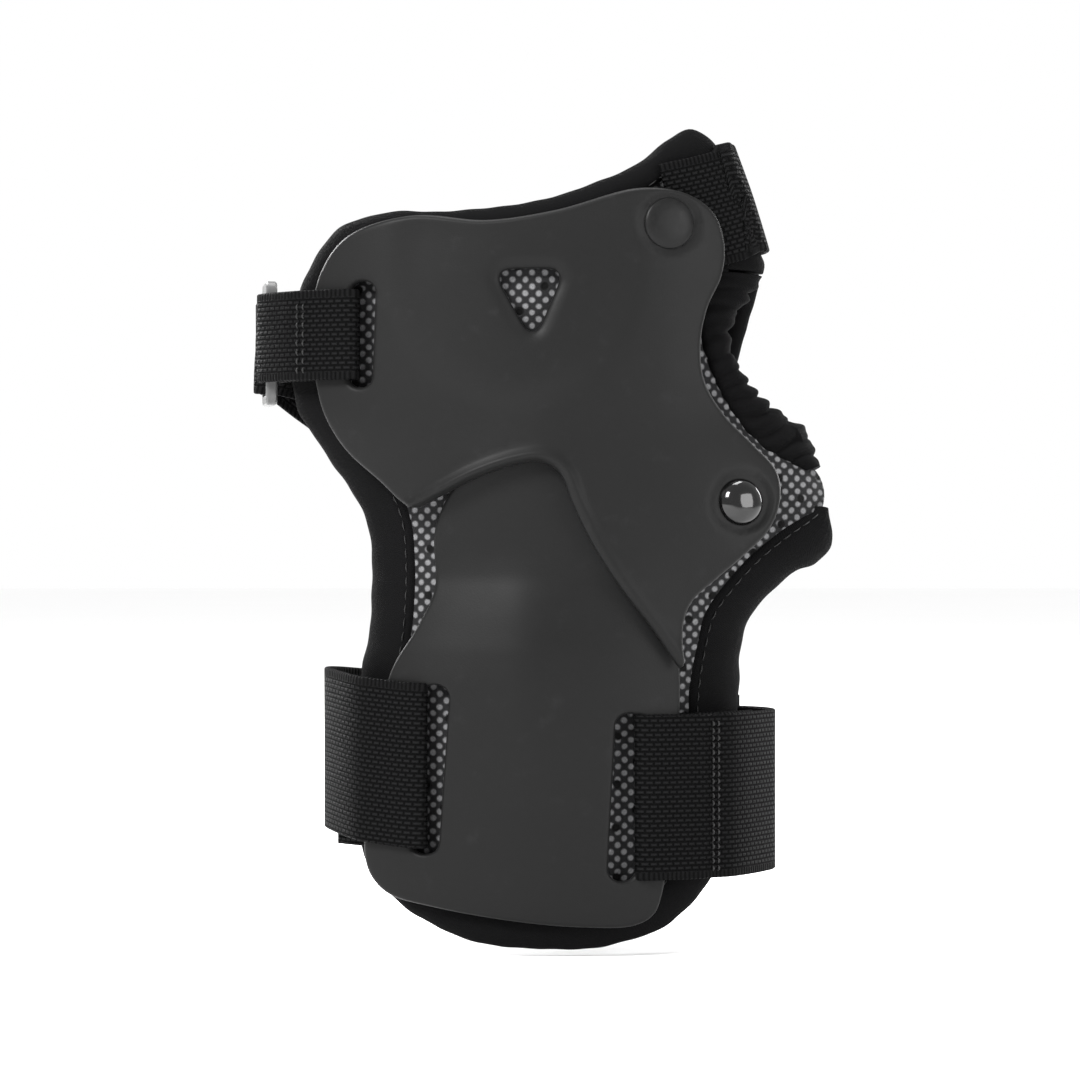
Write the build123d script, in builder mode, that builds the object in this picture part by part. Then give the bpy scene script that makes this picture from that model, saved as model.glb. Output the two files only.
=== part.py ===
"""A skate and snow wrist guard: a padded panel for the palm and forearm, two moulded plates on it,
a mesh flap over the back of the hand, and webbing straps that close it.

+Z points towards the fingers and -Y is the palm side, so the palm plate faces -Y and the thumb is
on +X. The origin is on the wrist's long axis, level with the lowest hem. All sizes are in mm.
"""

import os
from math import asin, cos, sin, sqrt

from build123d import *

# The palm side is a trough and the back of the hand an arch: stations of (height, middle, half width).
TROUGH_STATIONS = [
    (0, 1.5, 42),
    (30, 1.5, 42),
    (60, 1.5, 42),
    (74, 5, 43.2),
    (88, 13, 50.5),
    (99, 11, 52),
    (118, -0.5, 54),
    (135, -0.8, 54),
    (152, -0.8, 54),
    (184, 0, 50),
]
ARCH_STATIONS = [
    (78, 4, 60),
    (99, 3.5, 59),
    (118, 1, 56),
    (135, -1.5, 54.5),
    (152, -2.5, 53),
    (168, -4.7, 50.2),
    (184, -8.5, 48),
]
TROUGH_CENTRE_Y = 15
TROUGH_DEPTH = 40
TROUGH_WIDEN = 1.22  # the trough is the middle part of an ellipse this much wider than the panel
ARCH_CENTRE_Y = -8
ARCH_HEIGHT = 32
REACH = 90

# Layers, as distances out from the face of the mesh fabric.
MESH_FACE, MESH_BACK = 0, -0.85
FOAM_FACE, FOAM_BACK = -0.9, -4.25
LINING_FACE, LINING_BACK = -4.3, -5
BINDING_FACE, BINDING_BACK = 0.9, -5.8
FLAP_BACK = -3
FLAP_BINDING_FACE, FLAP_BINDING_BACK = 0.8, -3.8
PLATE_THICKNESS = 2.5
SPLINT_THICKNESS = 2.2

# Webbing.
WEB = 1.4
CUFF_WIDTH = 38
HAND_WIDTH = 25
RING_WIDTH = 20
BINDING_WIDTH = 8

PANEL_OUTLINE = [
    (0, 0.2),
    (18, 1.2),
    (31, 7),
    (40, 20),
    (43.4, 40),
    (45.2, 62),
    (48.5, 75),
    (60, 84),
    (65.6, 90),
    (63.4, 102),
    (60, 115),
    (49.5, 122),
    (42.6, 133),
    (45.5, 144),
    (50, 153),
    (45, 168),
    (38, 180),
    (31, 181),
    (14, 170),
    (-6, 164.3),
    (-34, 163.4),
    (-48, 157),
    (-55.5, 138),
    (-53, 119),
    (-43.3, 103.5),
    (-37.5, 90),
    (-38, 70),
    (-40.6, 48),
    (-40.6, 24),
    (-31, 9.5),
    (-17, 2.4),
]
PANEL_FIELD = [
    (0, 9),
    (16, 9.8),
    (26, 14),
    (32.5, 26),
    (34.5, 45),
    (36, 62),
    (40, 77),
    (49, 87),
    (54.6, 93),
    (53.5, 104),
    (45, 113),
    (36, 124),
    (33.5, 134),
    (36.5, 145),
    (40.5, 154),
    (37, 165),
    (31, 170.5),
    (15, 161),
    (-5, 155.3),
    (-32, 154.4),
    (-42, 149),
    (-46.5, 137),
    (-45, 122),
    (-35.5, 108),
    (-28.8, 92),
    (-29, 70),
    (-31.4, 48),
    (-31.4, 27),
    (-24, 15.5),
    (-13, 10.4),
]
PLATE_OUTLINE = [
    (-51, 138),
    (-48.7, 149.5),
    (-42, 158.5),
    (-28.3, 162),
    (-11.4, 160.4),
    (4, 163),
    (22.3, 168),
    (34, 167),
    (40.6, 159),
    (40.2, 147.8),
    (36, 137),
    (38.3, 124),
    (48, 113),
    (53.6, 103),
    (50.7, 92.7),
    (40.4, 83.7),
    (34.5, 75),
    (31.2, 62),
]
NOTCH_RIGHT = [(31.2, 62), (23.5, 69.5), (16.4, 78.8), (8.5, 95), (4.5, 104)]
NOTCH_LEFT = [(1, 107), (-5, 106), (-21.8, 99.3), (-25.6, 97.4)]
PLATE_LEFT_EDGE = [(-28.4, 98.2), (-42.5, 110.5), (-49.6, 126.5), (-51, 138)]
WINDOW = [(-10.4, 149.6), (6.4, 150.8), (-0.8, 132.5)]
PLATE_SLOT = ((-38.4, 135.5), 4.2, 23.5)
SPLINT_OUTLINE = [
    (-33.5, 12.2),
    (-13, 7.9),
    (9, 5.6),
    (22, 6.2),
    (27.5, 14),
    (31, 52),
    (30, 66),
    (24, 82),
    (14, 104),
    (0, 116),
    (-14, 108),
    (-22.8, 88.5),
    (-23.5, 76),
    (-32.7, 61),
    (-38.6, 26),
]
LEFT_SLOT = ((-24.3, 40), 5.4, 39.5, -4)
RIGHT_SLOT = ((19.7, 34), 5.4, 39.5, -4)

UPPER_RIVET = (29, 160.3)
THUMB_RIVET = (44.8, 99)
RIVET_HEAD_RADIUS = 5.6
RIVET_SHANK_RADIUS = 2
RIVET_HOLE_RADIUS = 2.3

FLAP_OUTLINE = [
    (-21, 98),
    (-24, 108),
    (-14, 122.5),
    (2, 135.5),
    (24, 153.5),
    (46, 172),
    (50, 162),
    (49.5, 150),
    (45, 136),
    (40.5, 124),
    (35.5, 113),
    (46, 110.5),
    (56, 114),
    (62, 110),
    (63, 98),
    (60, 92),
    (40, 88),
    (10, 88),
    (-18, 88),
]
THUMB_EDGE = [(49, 150), (45.6, 139), (41.6, 127), (37.5, 116), (42.5, 112.4), (50, 113.6), (57, 113)]
WING_EDGE = [(-14, 88.2), (14, 88.2), (42, 88.4), (60, 91)]

HAND_STRAP_BACK_OUTLINE = [
    (-19.1, 102.1),
    (40.7, 150.8),
    (46, 155.5),
    (60, 156),
    (60, 177),
    (37, 177),
    (24.9, 170.2),
    (-34.9, 121.5),
]
HAND_STRAP_FRONT = [(34.6, 156), (70, 156), (70, 177), (34.6, 177)]
RING_STRAP_ENDS = ((-9.8, 97), (-66, 138))
WRIST_STRAP_Z = 96.2
WRIST_STRAP_TIP_X = 51.7
WRIST_HINGE = (-13.8, 26)

RING_CENTRE = Vector(-61.1, 0.4, 135)
RING_ACROSS = Vector(-2, 14, 0).normalized()
RING_OUT = Vector(-14, -2, 0).normalized()
RING_SIZE = (15, 28)
RING_BAR = 2.5
RING_LOOP_Z = 135
RING_LOOP_RADIUS = 2.6  # of the middle of the webbing, round a bar

# The cuff's back is an arc about one centre, so that its layers lie at one distance from each other.
CUFF_CENTRE = (7, -61)
CUFF_RADIUS = 95
CUFF_STRAP_Z = 40
SHORT_STRAP_Z = 34
CUFF_HINGE_X = -33
CUFF_TAB_END_X = 47
SHORT_END_X = 14
PAD_SIZE = (71, 48)
PAD_CENTRE = (5, 38)
PAD_THICKNESS = 4.6
PATCH_THICKNESS = 0.8


def lofted(stations, centre_y, depth, widen, grow):
    """A closed tube through the stations, each ellipse grown by grow(height)."""
    with BuildPart() as tube:
        for height, middle, half in stations:
            with BuildSketch(Plane.XY.offset(height)):
                with Locations((middle, centre_y)):
                    Ellipse(half * widen + grow(height), depth + grow(height))
        loft(ruled=True)
    return tube.part


def trough(distance):
    """The solid inside the palm side's surface, moved out by a distance or a function of height."""
    grow = distance if callable(distance) else lambda height: distance
    return lofted(TROUGH_STATIONS, TROUGH_CENTRE_Y, TROUGH_DEPTH, TROUGH_WIDEN, grow)


def arch(distance):
    """The solid inside the back of the hand's surface, moved out by a distance."""
    return lofted(ARCH_STATIONS, ARCH_CENTRE_Y, ARCH_HEIGHT, 1, lambda height: distance)


def trough_section(z):
    """The middle and the half width of the trough's ellipse at a height."""
    below = max(station for station in TROUGH_STATIONS if station[0] <= z)
    above = min(station for station in TROUGH_STATIONS if station[0] > z)
    share = (z - below[0]) / (above[0] - below[0])
    middle = below[1] + share * (above[1] - below[1])
    return middle, (below[2] + share * (above[2] - below[2])) * TROUGH_WIDEN


def palm_point(x, z, distance=0):
    """The point of the palm side's surface at X and Z, moved out, and the direction out of it."""
    middle, across = trough_section(z)
    angle = asin((x - middle) / across)
    out = Vector(sin(angle) / across, -cos(angle) / TROUGH_DEPTH, 0).normalized()
    face = Vector(x, TROUGH_CENTRE_Y - TROUGH_DEPTH * cos(angle), z)
    return face + out * distance, out


def side_prism(points, y_from=-REACH, y_to=REACH):
    """The solid of a smooth closed outline in X and Z, from one Y to another."""
    with BuildPart() as prism:
        with BuildSketch(Plane.XZ.offset(-y_to)):
            with BuildLine():
                Spline(*points, periodic=True)
            make_face()
        extrude(amount=y_to - y_from)
    return prism.part


def polygon_prism(points, y_from=-REACH, y_to=REACH):
    """The solid of a straight-sided outline in X and Z, from one Y to another."""
    with BuildPart() as prism:
        with BuildSketch(Plane.XZ.offset(-y_to)):
            with BuildLine():
                Polyline(*points, close=True)
            make_face()
        extrude(amount=y_to - y_from)
    return prism.part


def strip_prism(points, width, y_from=-REACH, y_to=REACH):
    """The solid of a strip of one width along a smooth line in X and Z."""
    with BuildPart() as prism:
        with BuildSketch(Plane.XZ.offset(-y_to)):
            with BuildLine():
                Spline(*points)
            trace(line_width=width)
        extrude(amount=y_to - y_from)
    return prism.part


def slanted_strip(ends, width, y_from=-REACH, y_to=REACH):
    """The solid of a straight strip between two points in X and Z."""
    (x0, z0), (x1, z1) = ends
    run = sqrt((x1 - x0) ** 2 + (z1 - z0) ** 2)
    side_x, side_z = -(z1 - z0) / run * width / 2, (x1 - x0) / run * width / 2
    corners = [
        (x0 + side_x, z0 + side_z),
        (x1 + side_x, z1 + side_z),
        (x1 - side_x, z1 - side_z),
        (x0 - side_x, z0 - side_z),
    ]
    return polygon_prism(corners, y_from, y_to)


def block(x_from, x_to, y_from, y_to, z_from, z_to):
    """A rectangular block between the given faces."""
    with BuildPart() as box:
        with BuildSketch(Plane.XY.offset(z_from)):
            with Locations(((x_from + x_to) / 2, (y_from + y_to) / 2)):
                Rectangle(x_to - x_from, y_to - y_from)
        extrude(amount=z_to - z_from)
    return box.part


def write(node, name):
    """Labels a finished sub-part and writes its file."""
    node.part.label = name
    export_step(node.part, f"parts/{name}.step")


FRONT_ONLY = block(-REACH, REACH, -REACH, 4, -5, 190)
THUMB_SPAN = block(31, 80, -REACH, 4, 111, 149)

panel_field = side_prism(PANEL_FIELD)
panel_outline = side_prism(PANEL_OUTLINE)
trough_by_face = {d: trough(d) for d in (MESH_FACE, MESH_BACK, FOAM_FACE, FOAM_BACK, LINING_FACE)}
trough_by_face.update({d: trough(d) for d in (LINING_BACK, BINDING_FACE, BINDING_BACK)})


def rivet_core(place, radius, depth_in, depth_out):
    """A round bar through the layers at a rivet."""
    face, out = palm_point(*place)
    with BuildPart() as core:
        with BuildSketch(Plane(origin=face - out * depth_in, z_dir=out)):
            Circle(radius)
        extrude(amount=depth_in + depth_out)
    return core.part


rivet_holes = [rivet_core(place, RIVET_HOLE_RADIUS, 9, 12) for place in (UPPER_RIVET, THUMB_RIVET)]


def panel_layer(face, back):
    """One layer of the padded panel, inside the binding, with the rivets' holes."""
    with BuildPart() as layer:
        add(trough_by_face[face])
        add(trough_by_face[back], mode=Mode.SUBTRACT)
        add(panel_field, mode=Mode.INTERSECT)
        add(FRONT_ONLY, mode=Mode.INTERSECT)
        for hole in rivet_holes:
            add(hole, mode=Mode.SUBTRACT)
    return layer


outer_mesh = panel_layer(MESH_FACE, MESH_BACK)
foam_core = panel_layer(FOAM_FACE, FOAM_BACK)
lining = panel_layer(LINING_FACE, LINING_BACK)

with BuildPart() as binding_ring:
    add(trough_by_face[BINDING_FACE])
    add(trough_by_face[BINDING_BACK], mode=Mode.SUBTRACT)
    add(panel_outline, mode=Mode.INTERSECT)
    add(FRONT_ONLY, mode=Mode.INTERSECT)
    add(panel_field, mode=Mode.SUBTRACT)

with BuildPart() as edge_binding:
    add(binding_ring.part)
    add(THUMB_SPAN, mode=Mode.SUBTRACT)

with BuildPart() as thumb_binding_front:
    add(binding_ring.part)
    add(THUMB_SPAN, mode=Mode.INTERSECT)

# The splint stands off the fabric at the cuff, where the strap's loops pass under it.
SPLINT_LIFTS = [(60, 2.9), (74, 1.8), (184, 0.5)]
PLATE_LIFTS = [(60, 5.4), (74, 4.4), (88, 3.3), (184, 2.9)]


def splint_lift(height):
    """How far the splint's back stands off the mesh fabric."""
    return next(lift for top, lift in SPLINT_LIFTS if height <= top)


def plate_lift(height):
    """How far the palm plate's back stands off the mesh fabric."""
    return next(lift for top, lift in PLATE_LIFTS if height <= top)


def slot_prism(centre, width, length, tilt=0):
    """A round-ended slot, long enough in Y to cut a plate."""
    with BuildPart() as slot:
        with BuildSketch(Plane.XZ):
            with Locations(Location((centre[0], centre[1], 0), (0, 0, tilt))):
                RectangleRounded(width, length, width * 0.45)
        extrude(amount=REACH)
    return slot.part


with BuildPart() as forearm_splint:
    add(trough(lambda height: splint_lift(height) + SPLINT_THICKNESS))
    add(trough(splint_lift), mode=Mode.SUBTRACT)
    add(side_prism(SPLINT_OUTLINE, y_to=0), mode=Mode.INTERSECT)
    add(slot_prism(*LEFT_SLOT), mode=Mode.SUBTRACT)
    add(slot_prism(*RIGHT_SLOT), mode=Mode.SUBTRACT)

with BuildPart() as plate_blank:
    with BuildSketch(Plane.XZ):
        with BuildLine():
            Spline(*PLATE_OUTLINE)
            Spline(*NOTCH_RIGHT)
            ThreePointArc(NOTCH_RIGHT[-1], (3.2, 106.2), NOTCH_LEFT[0])
            Spline(*NOTCH_LEFT)
            Line(NOTCH_LEFT[-1], PLATE_LEFT_EDGE[0])
            Spline(*PLATE_LEFT_EDGE)
        make_face()
        with BuildLine():
            window = FilletPolyline(*WINDOW, radius=2.6, close=True)
        make_face(mode=Mode.SUBTRACT)
    extrude(amount=REACH)

with BuildPart() as palm_plate:
    add(trough(lambda height: plate_lift(height) + PLATE_THICKNESS))
    add(trough(plate_lift), mode=Mode.SUBTRACT)
    add(plate_blank.part, mode=Mode.INTERSECT)
    add(slot_prism(*PLATE_SLOT), mode=Mode.SUBTRACT)
    for hole in rivet_holes:
        add(hole, mode=Mode.SUBTRACT)


def dome_rivet(place, seat, height):
    """A rivet with a shank through all layers and a low domed head on the plate."""
    face, out = palm_point(*place, seat)
    with BuildPart() as rivet:
        with BuildSketch(Plane(origin=face, z_dir=out)):
            Circle(RIVET_HEAD_RADIUS)
        extrude(amount=height)
        fillet(rivet.faces().sort_by(Axis(face, out))[-1].edges(), height * 0.9)
        with BuildSketch(Plane(origin=face, z_dir=-out)):
            Circle(RIVET_SHANK_RADIUS)
        extrude(amount=seat - BINDING_BACK + 1.6)
    return rivet


upper_rivet = dome_rivet(UPPER_RIVET, 5.8, 1.6)
thumb_rivet = dome_rivet(THUMB_RIVET, 6.2, 2.6)

with BuildPart() as rivet_washers:
    for place in (UPPER_RIVET, THUMB_RIVET):
        face, out = palm_point(*place, LINING_BACK - 1.3)
        with BuildSketch(Plane(origin=face, z_dir=-out)):
            Circle(RIVET_HEAD_RADIUS)
            Circle(RIVET_SHANK_RADIUS + 0.2, mode=Mode.SUBTRACT)
        extrude(amount=1)


# The back of the hand.
def arch_layer(face, back, outline, y_from=ARCH_CENTRE_Y + 0.5):
    """A layer of the arch between two distances, within an outline and behind the thumb seam."""
    with BuildPart() as layer:
        add(arch(face))
        add(arch(back), mode=Mode.SUBTRACT)
        add(outline, mode=Mode.INTERSECT)
        add(block(-REACH, REACH, y_from, REACH, 70, 190), mode=Mode.INTERSECT)
    return layer


thumb_edge = strip_prism(THUMB_EDGE, BINDING_WIDTH, y_from=-20)
wing_edge = strip_prism(WING_EDGE, BINDING_WIDTH, y_from=-20)

with BuildPart() as hand_flap:
    add(arch_layer(0, FLAP_BACK, side_prism(FLAP_OUTLINE)).part)
    add(thumb_edge, mode=Mode.SUBTRACT)
    add(wing_edge, mode=Mode.SUBTRACT)
    add(binding_ring.part, mode=Mode.SUBTRACT)

with BuildPart() as thumb_binding_back:
    add(arch_layer(FLAP_BINDING_FACE, FLAP_BINDING_BACK, thumb_edge).part)
    add(binding_ring.part, mode=Mode.SUBTRACT)

with BuildPart() as wing_binding:
    add(arch_layer(FLAP_BINDING_FACE, FLAP_BINDING_BACK, wing_edge).part)
    add(thumb_edge, mode=Mode.SUBTRACT)
    add(binding_ring.part, mode=Mode.SUBTRACT)

HAND_STRAP_BACK, WRIST_STRAP_BACK, RING_STRAP_BACK = 1.35, 3, 2.8
JUNCTION_SIDE_X = -26.4  # where the ring strap leaves the back of the hand

with BuildPart() as hand_strap_reach:
    add(polygon_prism(HAND_STRAP_BACK_OUTLINE, y_from=-12))
    add(polygon_prism(HAND_STRAP_FRONT, y_to=-6))

with BuildPart() as hand_strap:
    add(trough(HAND_STRAP_BACK + WEB))
    add(arch(HAND_STRAP_BACK + WEB), mode=Mode.INTERSECT)
    add(trough(HAND_STRAP_BACK) & arch(HAND_STRAP_BACK), mode=Mode.SUBTRACT)
    add(hand_strap_reach.part, mode=Mode.INTERSECT)
    add(block(-REACH, JUNCTION_SIDE_X, 0, REACH, 70, 160), mode=Mode.SUBTRACT)

wrist_band = block(
    WRIST_HINGE[0] + 0.1,
    WRIST_STRAP_TIP_X,
    0,
    REACH,
    WRIST_STRAP_Z - HAND_WIDTH / 2,
    WRIST_STRAP_Z + HAND_WIDTH / 2,
)
wrist_strap = arch_layer(WRIST_STRAP_BACK + WEB, WRIST_STRAP_BACK, wrist_band)
patch_span = block(30, 50, 0, REACH, 93.2, 107.6)
wrist_hook_patch = arch_layer(WRIST_STRAP_BACK - 0.1, 1.35, patch_span)
wrist_loop_patch = arch_layer(1, 0.1, patch_span)


# The ring on the little finger's side, with webbing looped round both of its bars.
def plan_band(z_middle, width, *lines):
    """Upright webbing that follows lines in plan."""
    with BuildPart() as band:
        with BuildSketch(Plane.XY.offset(z_middle - width / 2)):
            with BuildLine():
                for line in lines:
                    add(line)
            trace(line_width=WEB)
        extrude(amount=width)
    return band.part


def bar_loop(side, z_middle, width):
    """Webbing once round the ring's front bar (side -1) or back bar (side 1)."""
    bar = RING_CENTRE + RING_ACROSS * (side * (RING_SIZE[0] - RING_BAR) / 2)
    with BuildPart() as loop:
        with BuildSketch(Plane.XY.offset(z_middle - width / 2)):
            with Locations((bar.X, bar.Y)):
                Circle(RING_LOOP_RADIUS + WEB / 2)
                Circle(RING_LOOP_RADIUS - WEB / 2, mode=Mode.SUBTRACT)
        extrude(amount=width)
    return loop.part


ring_plane = Plane(origin=RING_CENTRE - RING_OUT * (RING_BAR / 2), x_dir=RING_ACROSS, z_dir=RING_OUT)

with BuildPart() as strap_ring:
    with BuildSketch(ring_plane):
        RectangleRounded(*RING_SIZE, 2.6)
        RectangleRounded(RING_SIZE[0] - 2 * RING_BAR, RING_SIZE[1] - 2 * RING_BAR, 0.8, mode=Mode.SUBTRACT)
    extrude(amount=RING_BAR)
    chamfer(strap_ring.edges().filter_by(Axis.Z), 0.4)


def palm_plan(x, z, distance):
    """The X and Y of the point at X on the palm side's surface moved out by a distance."""
    middle, across = trough_section(z)
    share = (x - middle) / (across + distance)
    return (x, TROUGH_CENTRE_Y - (TROUGH_DEPTH + distance) * sqrt(1 - share**2))


UNDER, OVER_PLATE, OVER_SPLINT = 1.8, 6.5, 6.2  # middles of the webbing under and over the plates
SLOT_X = PLATE_SLOT[0][0]

ring_loop_under = [palm_plan(x, RING_LOOP_Z, UNDER) for x in (SLOT_X, -44, -51)] + [(-58.3, -8.4)]
ring_loop_over = [palm_plan(x, RING_LOOP_Z, OVER_PLATE) for x in (SLOT_X, -45, -52)] + [(-62.4, -7.1)]

with BuildPart() as ring_loop:
    add(plan_band(RING_LOOP_Z, RING_WIDTH, Spline(*ring_loop_under)))
    add(plan_band(RING_LOOP_Z, RING_WIDTH, Spline(*ring_loop_over)))
    add(plan_band(RING_LOOP_Z, RING_WIDTH, Line(ring_loop_under[0], ring_loop_over[0])))
    add(bar_loop(-1, RING_LOOP_Z, RING_WIDTH))

ring_strip = slanted_strip(RING_STRAP_ENDS, RING_WIDTH, y_from=0)
ring_window = block(-REACH, -54, 0, REACH, RING_LOOP_Z - RING_WIDTH / 2, RING_LOOP_Z + RING_WIDTH / 2)

with BuildPart() as ring_strap_reach:
    add(block(-54.1, WRIST_HINGE[0] - 1.3, 0, REACH, 70, 160))
    add(ring_window)
    add(ring_strip, mode=Mode.INTERSECT)

with BuildPart() as ring_strap:
    add(plan_band(115, 70, Spline((-20, 25.1), (-27, 23.2), (-45, 16.6), (-63.1, 9))))
    add(block(-REACH, JUNCTION_SIDE_X - 0.1, 0, REACH, 70, 160), mode=Mode.INTERSECT)
    add(arch_layer(RING_STRAP_BACK + WEB, RING_STRAP_BACK, block(-27, -10, 0, REACH, 70, 160)).part)
    add(ring_strap_reach.part, mode=Mode.INTERSECT)
    add(bar_loop(1, RING_LOOP_Z, RING_WIDTH))


# The cuff.
def cuff_point(x, radius):
    """A point of the cuff's back, at a radius from its centre."""
    return (x, CUFF_CENTRE[1] + sqrt(radius**2 - (x - CUFF_CENTRE[0]) ** 2))


def cuff_arc(x_from, x_to, radius):
    """A stretch of the cuff's back, as seen from above."""
    middle = (x_from + x_to) / 2
    return ThreePointArc(cuff_point(x_from, radius), cuff_point(middle, radius), cuff_point(x_to, radius))


def cuff_layer(face, back, outline):
    """A layer of the cuff's back between two radii, within an outline."""
    with BuildPart() as layer:
        with BuildSketch(Plane.XY.offset(-5)):
            with Locations(CUFF_CENTRE):
                Circle(face)
                Circle(back, mode=Mode.SUBTRACT)
        extrude(amount=80)
        add(outline, mode=Mode.INTERSECT)
    return layer


def rounded_prism(centre, size, radius):
    """The solid of a round-cornered rectangle in X and Z, on the back side."""
    with BuildPart() as prism:
        with BuildSketch(Plane.XZ):
            with Locations(centre):
                RectangleRounded(*size, radius)
        extrude(amount=-REACH)
    return prism.part


LEFT_SLOT_X, RIGHT_SLOT_X = LEFT_SLOT[0][0], RIGHT_SLOT[0][0]
root_under = [palm_plan(x, CUFF_STRAP_Z, UNDER) for x in (LEFT_SLOT_X, -33, -40)] + [(-46, -5.2)]
root_over = [palm_plan(x, CUFF_STRAP_Z, OVER_SPLINT) for x in (LEFT_SLOT_X, -33, -40)] + [(-46.8, -4.2)]
root_side = [root_over[-1], (-48.2, 3), (-44, 15.5), cuff_point(CUFF_HINGE_X - 1.1, CUFF_RADIUS)]

with BuildPart() as cuff_strap_root:
    add(plan_band(CUFF_STRAP_Z, CUFF_WIDTH, Spline(*root_under)))
    add(plan_band(CUFF_STRAP_Z, CUFF_WIDTH, Line(root_under[0], root_over[0])))
    add(plan_band(CUFF_STRAP_Z, CUFF_WIDTH, Spline(*root_over)))
    add(plan_band(CUFF_STRAP_Z, CUFF_WIDTH, Spline(*root_side)))

with BuildPart() as cuff_strap_tab:
    add(plan_band(CUFF_STRAP_Z - 1, CUFF_WIDTH, cuff_arc(CUFF_HINGE_X + 0.1, CUFF_TAB_END_X, CUFF_RADIUS)))

PAD_FACE = CUFF_RADIUS - WEB / 2 - 0.15
PAD_BACK = PAD_FACE - PAD_THICKNESS
HOOK_BACK = PAD_BACK - 0.1 - PATCH_THICKNESS
LOOP_FACE = HOOK_BACK - 0.35
SHORT_RADIUS = LOOP_FACE - PATCH_THICKNESS - 0.1 - WEB / 2
LABEL_BACK = CUFF_RADIUS + WEB / 2 + 0.05

short_under = [palm_plan(x, SHORT_STRAP_Z, UNDER) for x in (RIGHT_SLOT_X, 33, 42)] + [(50.4, -5.2)]
short_over = [palm_plan(x, SHORT_STRAP_Z, OVER_SPLINT) for x in (RIGHT_SLOT_X, 33, 42)] + [(51.3, -4.2)]
short_side = [short_over[-1], (53.1, 2.5), (50.2, 11.5), cuff_point(42, SHORT_RADIUS)]

with BuildPart() as cuff_strap_short:
    add(plan_band(SHORT_STRAP_Z, CUFF_WIDTH, Spline(*short_under)))
    add(plan_band(SHORT_STRAP_Z, CUFF_WIDTH, Line(short_under[0], short_over[0])))
    add(plan_band(SHORT_STRAP_Z, CUFF_WIDTH, Spline(*short_over)))
    add(plan_band(SHORT_STRAP_Z, CUFF_WIDTH, Spline(*short_side)))
    add(plan_band(SHORT_STRAP_Z, CUFF_WIDTH, cuff_arc(SHORT_END_X, 42, SHORT_RADIUS)))

cuff_pad = cuff_layer(PAD_FACE, PAD_BACK, rounded_prism(PAD_CENTRE, PAD_SIZE, 18))
cuff_hook_patch = cuff_layer(PAD_BACK - 0.1, HOOK_BACK, rounded_prism((27, 36), (24, 32), 2))
cuff_loop_patch = cuff_layer(LOOP_FACE, LOOP_FACE - PATCH_THICKNESS, rounded_prism((28, 34), (26, 34), 2))
label_patch = cuff_layer(LABEL_BACK + PATCH_THICKNESS, LABEL_BACK, rounded_prism((13.2, 35.5), (57.5, 24), 1))

with BuildPart() as label_edge:
    add(rounded_prism((13.2, 35.5), (55.5, 22), 1))
    add(rounded_prism((13.2, 35.5), (54, 20.5), 1), mode=Mode.SUBTRACT)
label_face = LABEL_BACK + PATCH_THICKNESS
label_stitching = cuff_layer(label_face + 0.35, label_face + 0.03, label_edge.part)

# Bar tacks: where the cuff's webbing is sewn to itself beside the splint, and on the strap junction.
ring_strap_face = RING_STRAP_BACK + WEB
junction_line = slanted_strip(((-21, 93), (-15.6, 101)), 1.4)
junction_tack = arch_layer(ring_strap_face + 0.4, ring_strap_face + 0.05, junction_line)

with BuildPart() as bar_tacks:
    add(trough(OVER_SPLINT + 1.2))
    add(trough(OVER_SPLINT + 0.8), mode=Mode.SUBTRACT)
    add(block(37, 38.4, -REACH, 0, 17, 51), mode=Mode.INTERSECT)
    add(junction_tack.part)

os.makedirs("parts", exist_ok=True)
for name, node in {
    "outer_mesh": outer_mesh,
    "foam_core": foam_core,
    "lining": lining,
    "edge_binding": edge_binding,
    "thumb_binding_front": thumb_binding_front,
    "forearm_splint": forearm_splint,
    "palm_plate": palm_plate,
    "upper_rivet": upper_rivet,
    "thumb_rivet": thumb_rivet,
    "rivet_washers": rivet_washers,
    "hand_flap": hand_flap,
    "thumb_binding_back": thumb_binding_back,
    "wing_binding": wing_binding,
    "hand_strap": hand_strap,
    "wrist_strap": wrist_strap,
    "wrist_hook_patch": wrist_hook_patch,
    "wrist_loop_patch": wrist_loop_patch,
    "ring_strap": ring_strap,
    "strap_ring": strap_ring,
    "ring_loop": ring_loop,
    "cuff_strap_root": cuff_strap_root,
    "cuff_strap_tab": cuff_strap_tab,
    "cuff_strap_short": cuff_strap_short,
    "cuff_pad": cuff_pad,
    "cuff_hook_patch": cuff_hook_patch,
    "cuff_loop_patch": cuff_loop_patch,
    "label_patch": label_patch,
    "label_stitching": label_stitching,
    "bar_tacks": bar_tacks,
}.items():
    write(node, name)
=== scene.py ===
"""The looks of a wrist guard: padded panel, moulded plates, mesh flap, webbing and bindings.

Shapes are worked out in millimetres on the same surfaces as the frame's solids, and written in metres.
"""

from math import cos, pi, radians, sin

import bmesh
import bpy
import numpy as np
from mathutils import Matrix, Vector
from mathutils.geometry import delaunay_2d_cdt


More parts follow.
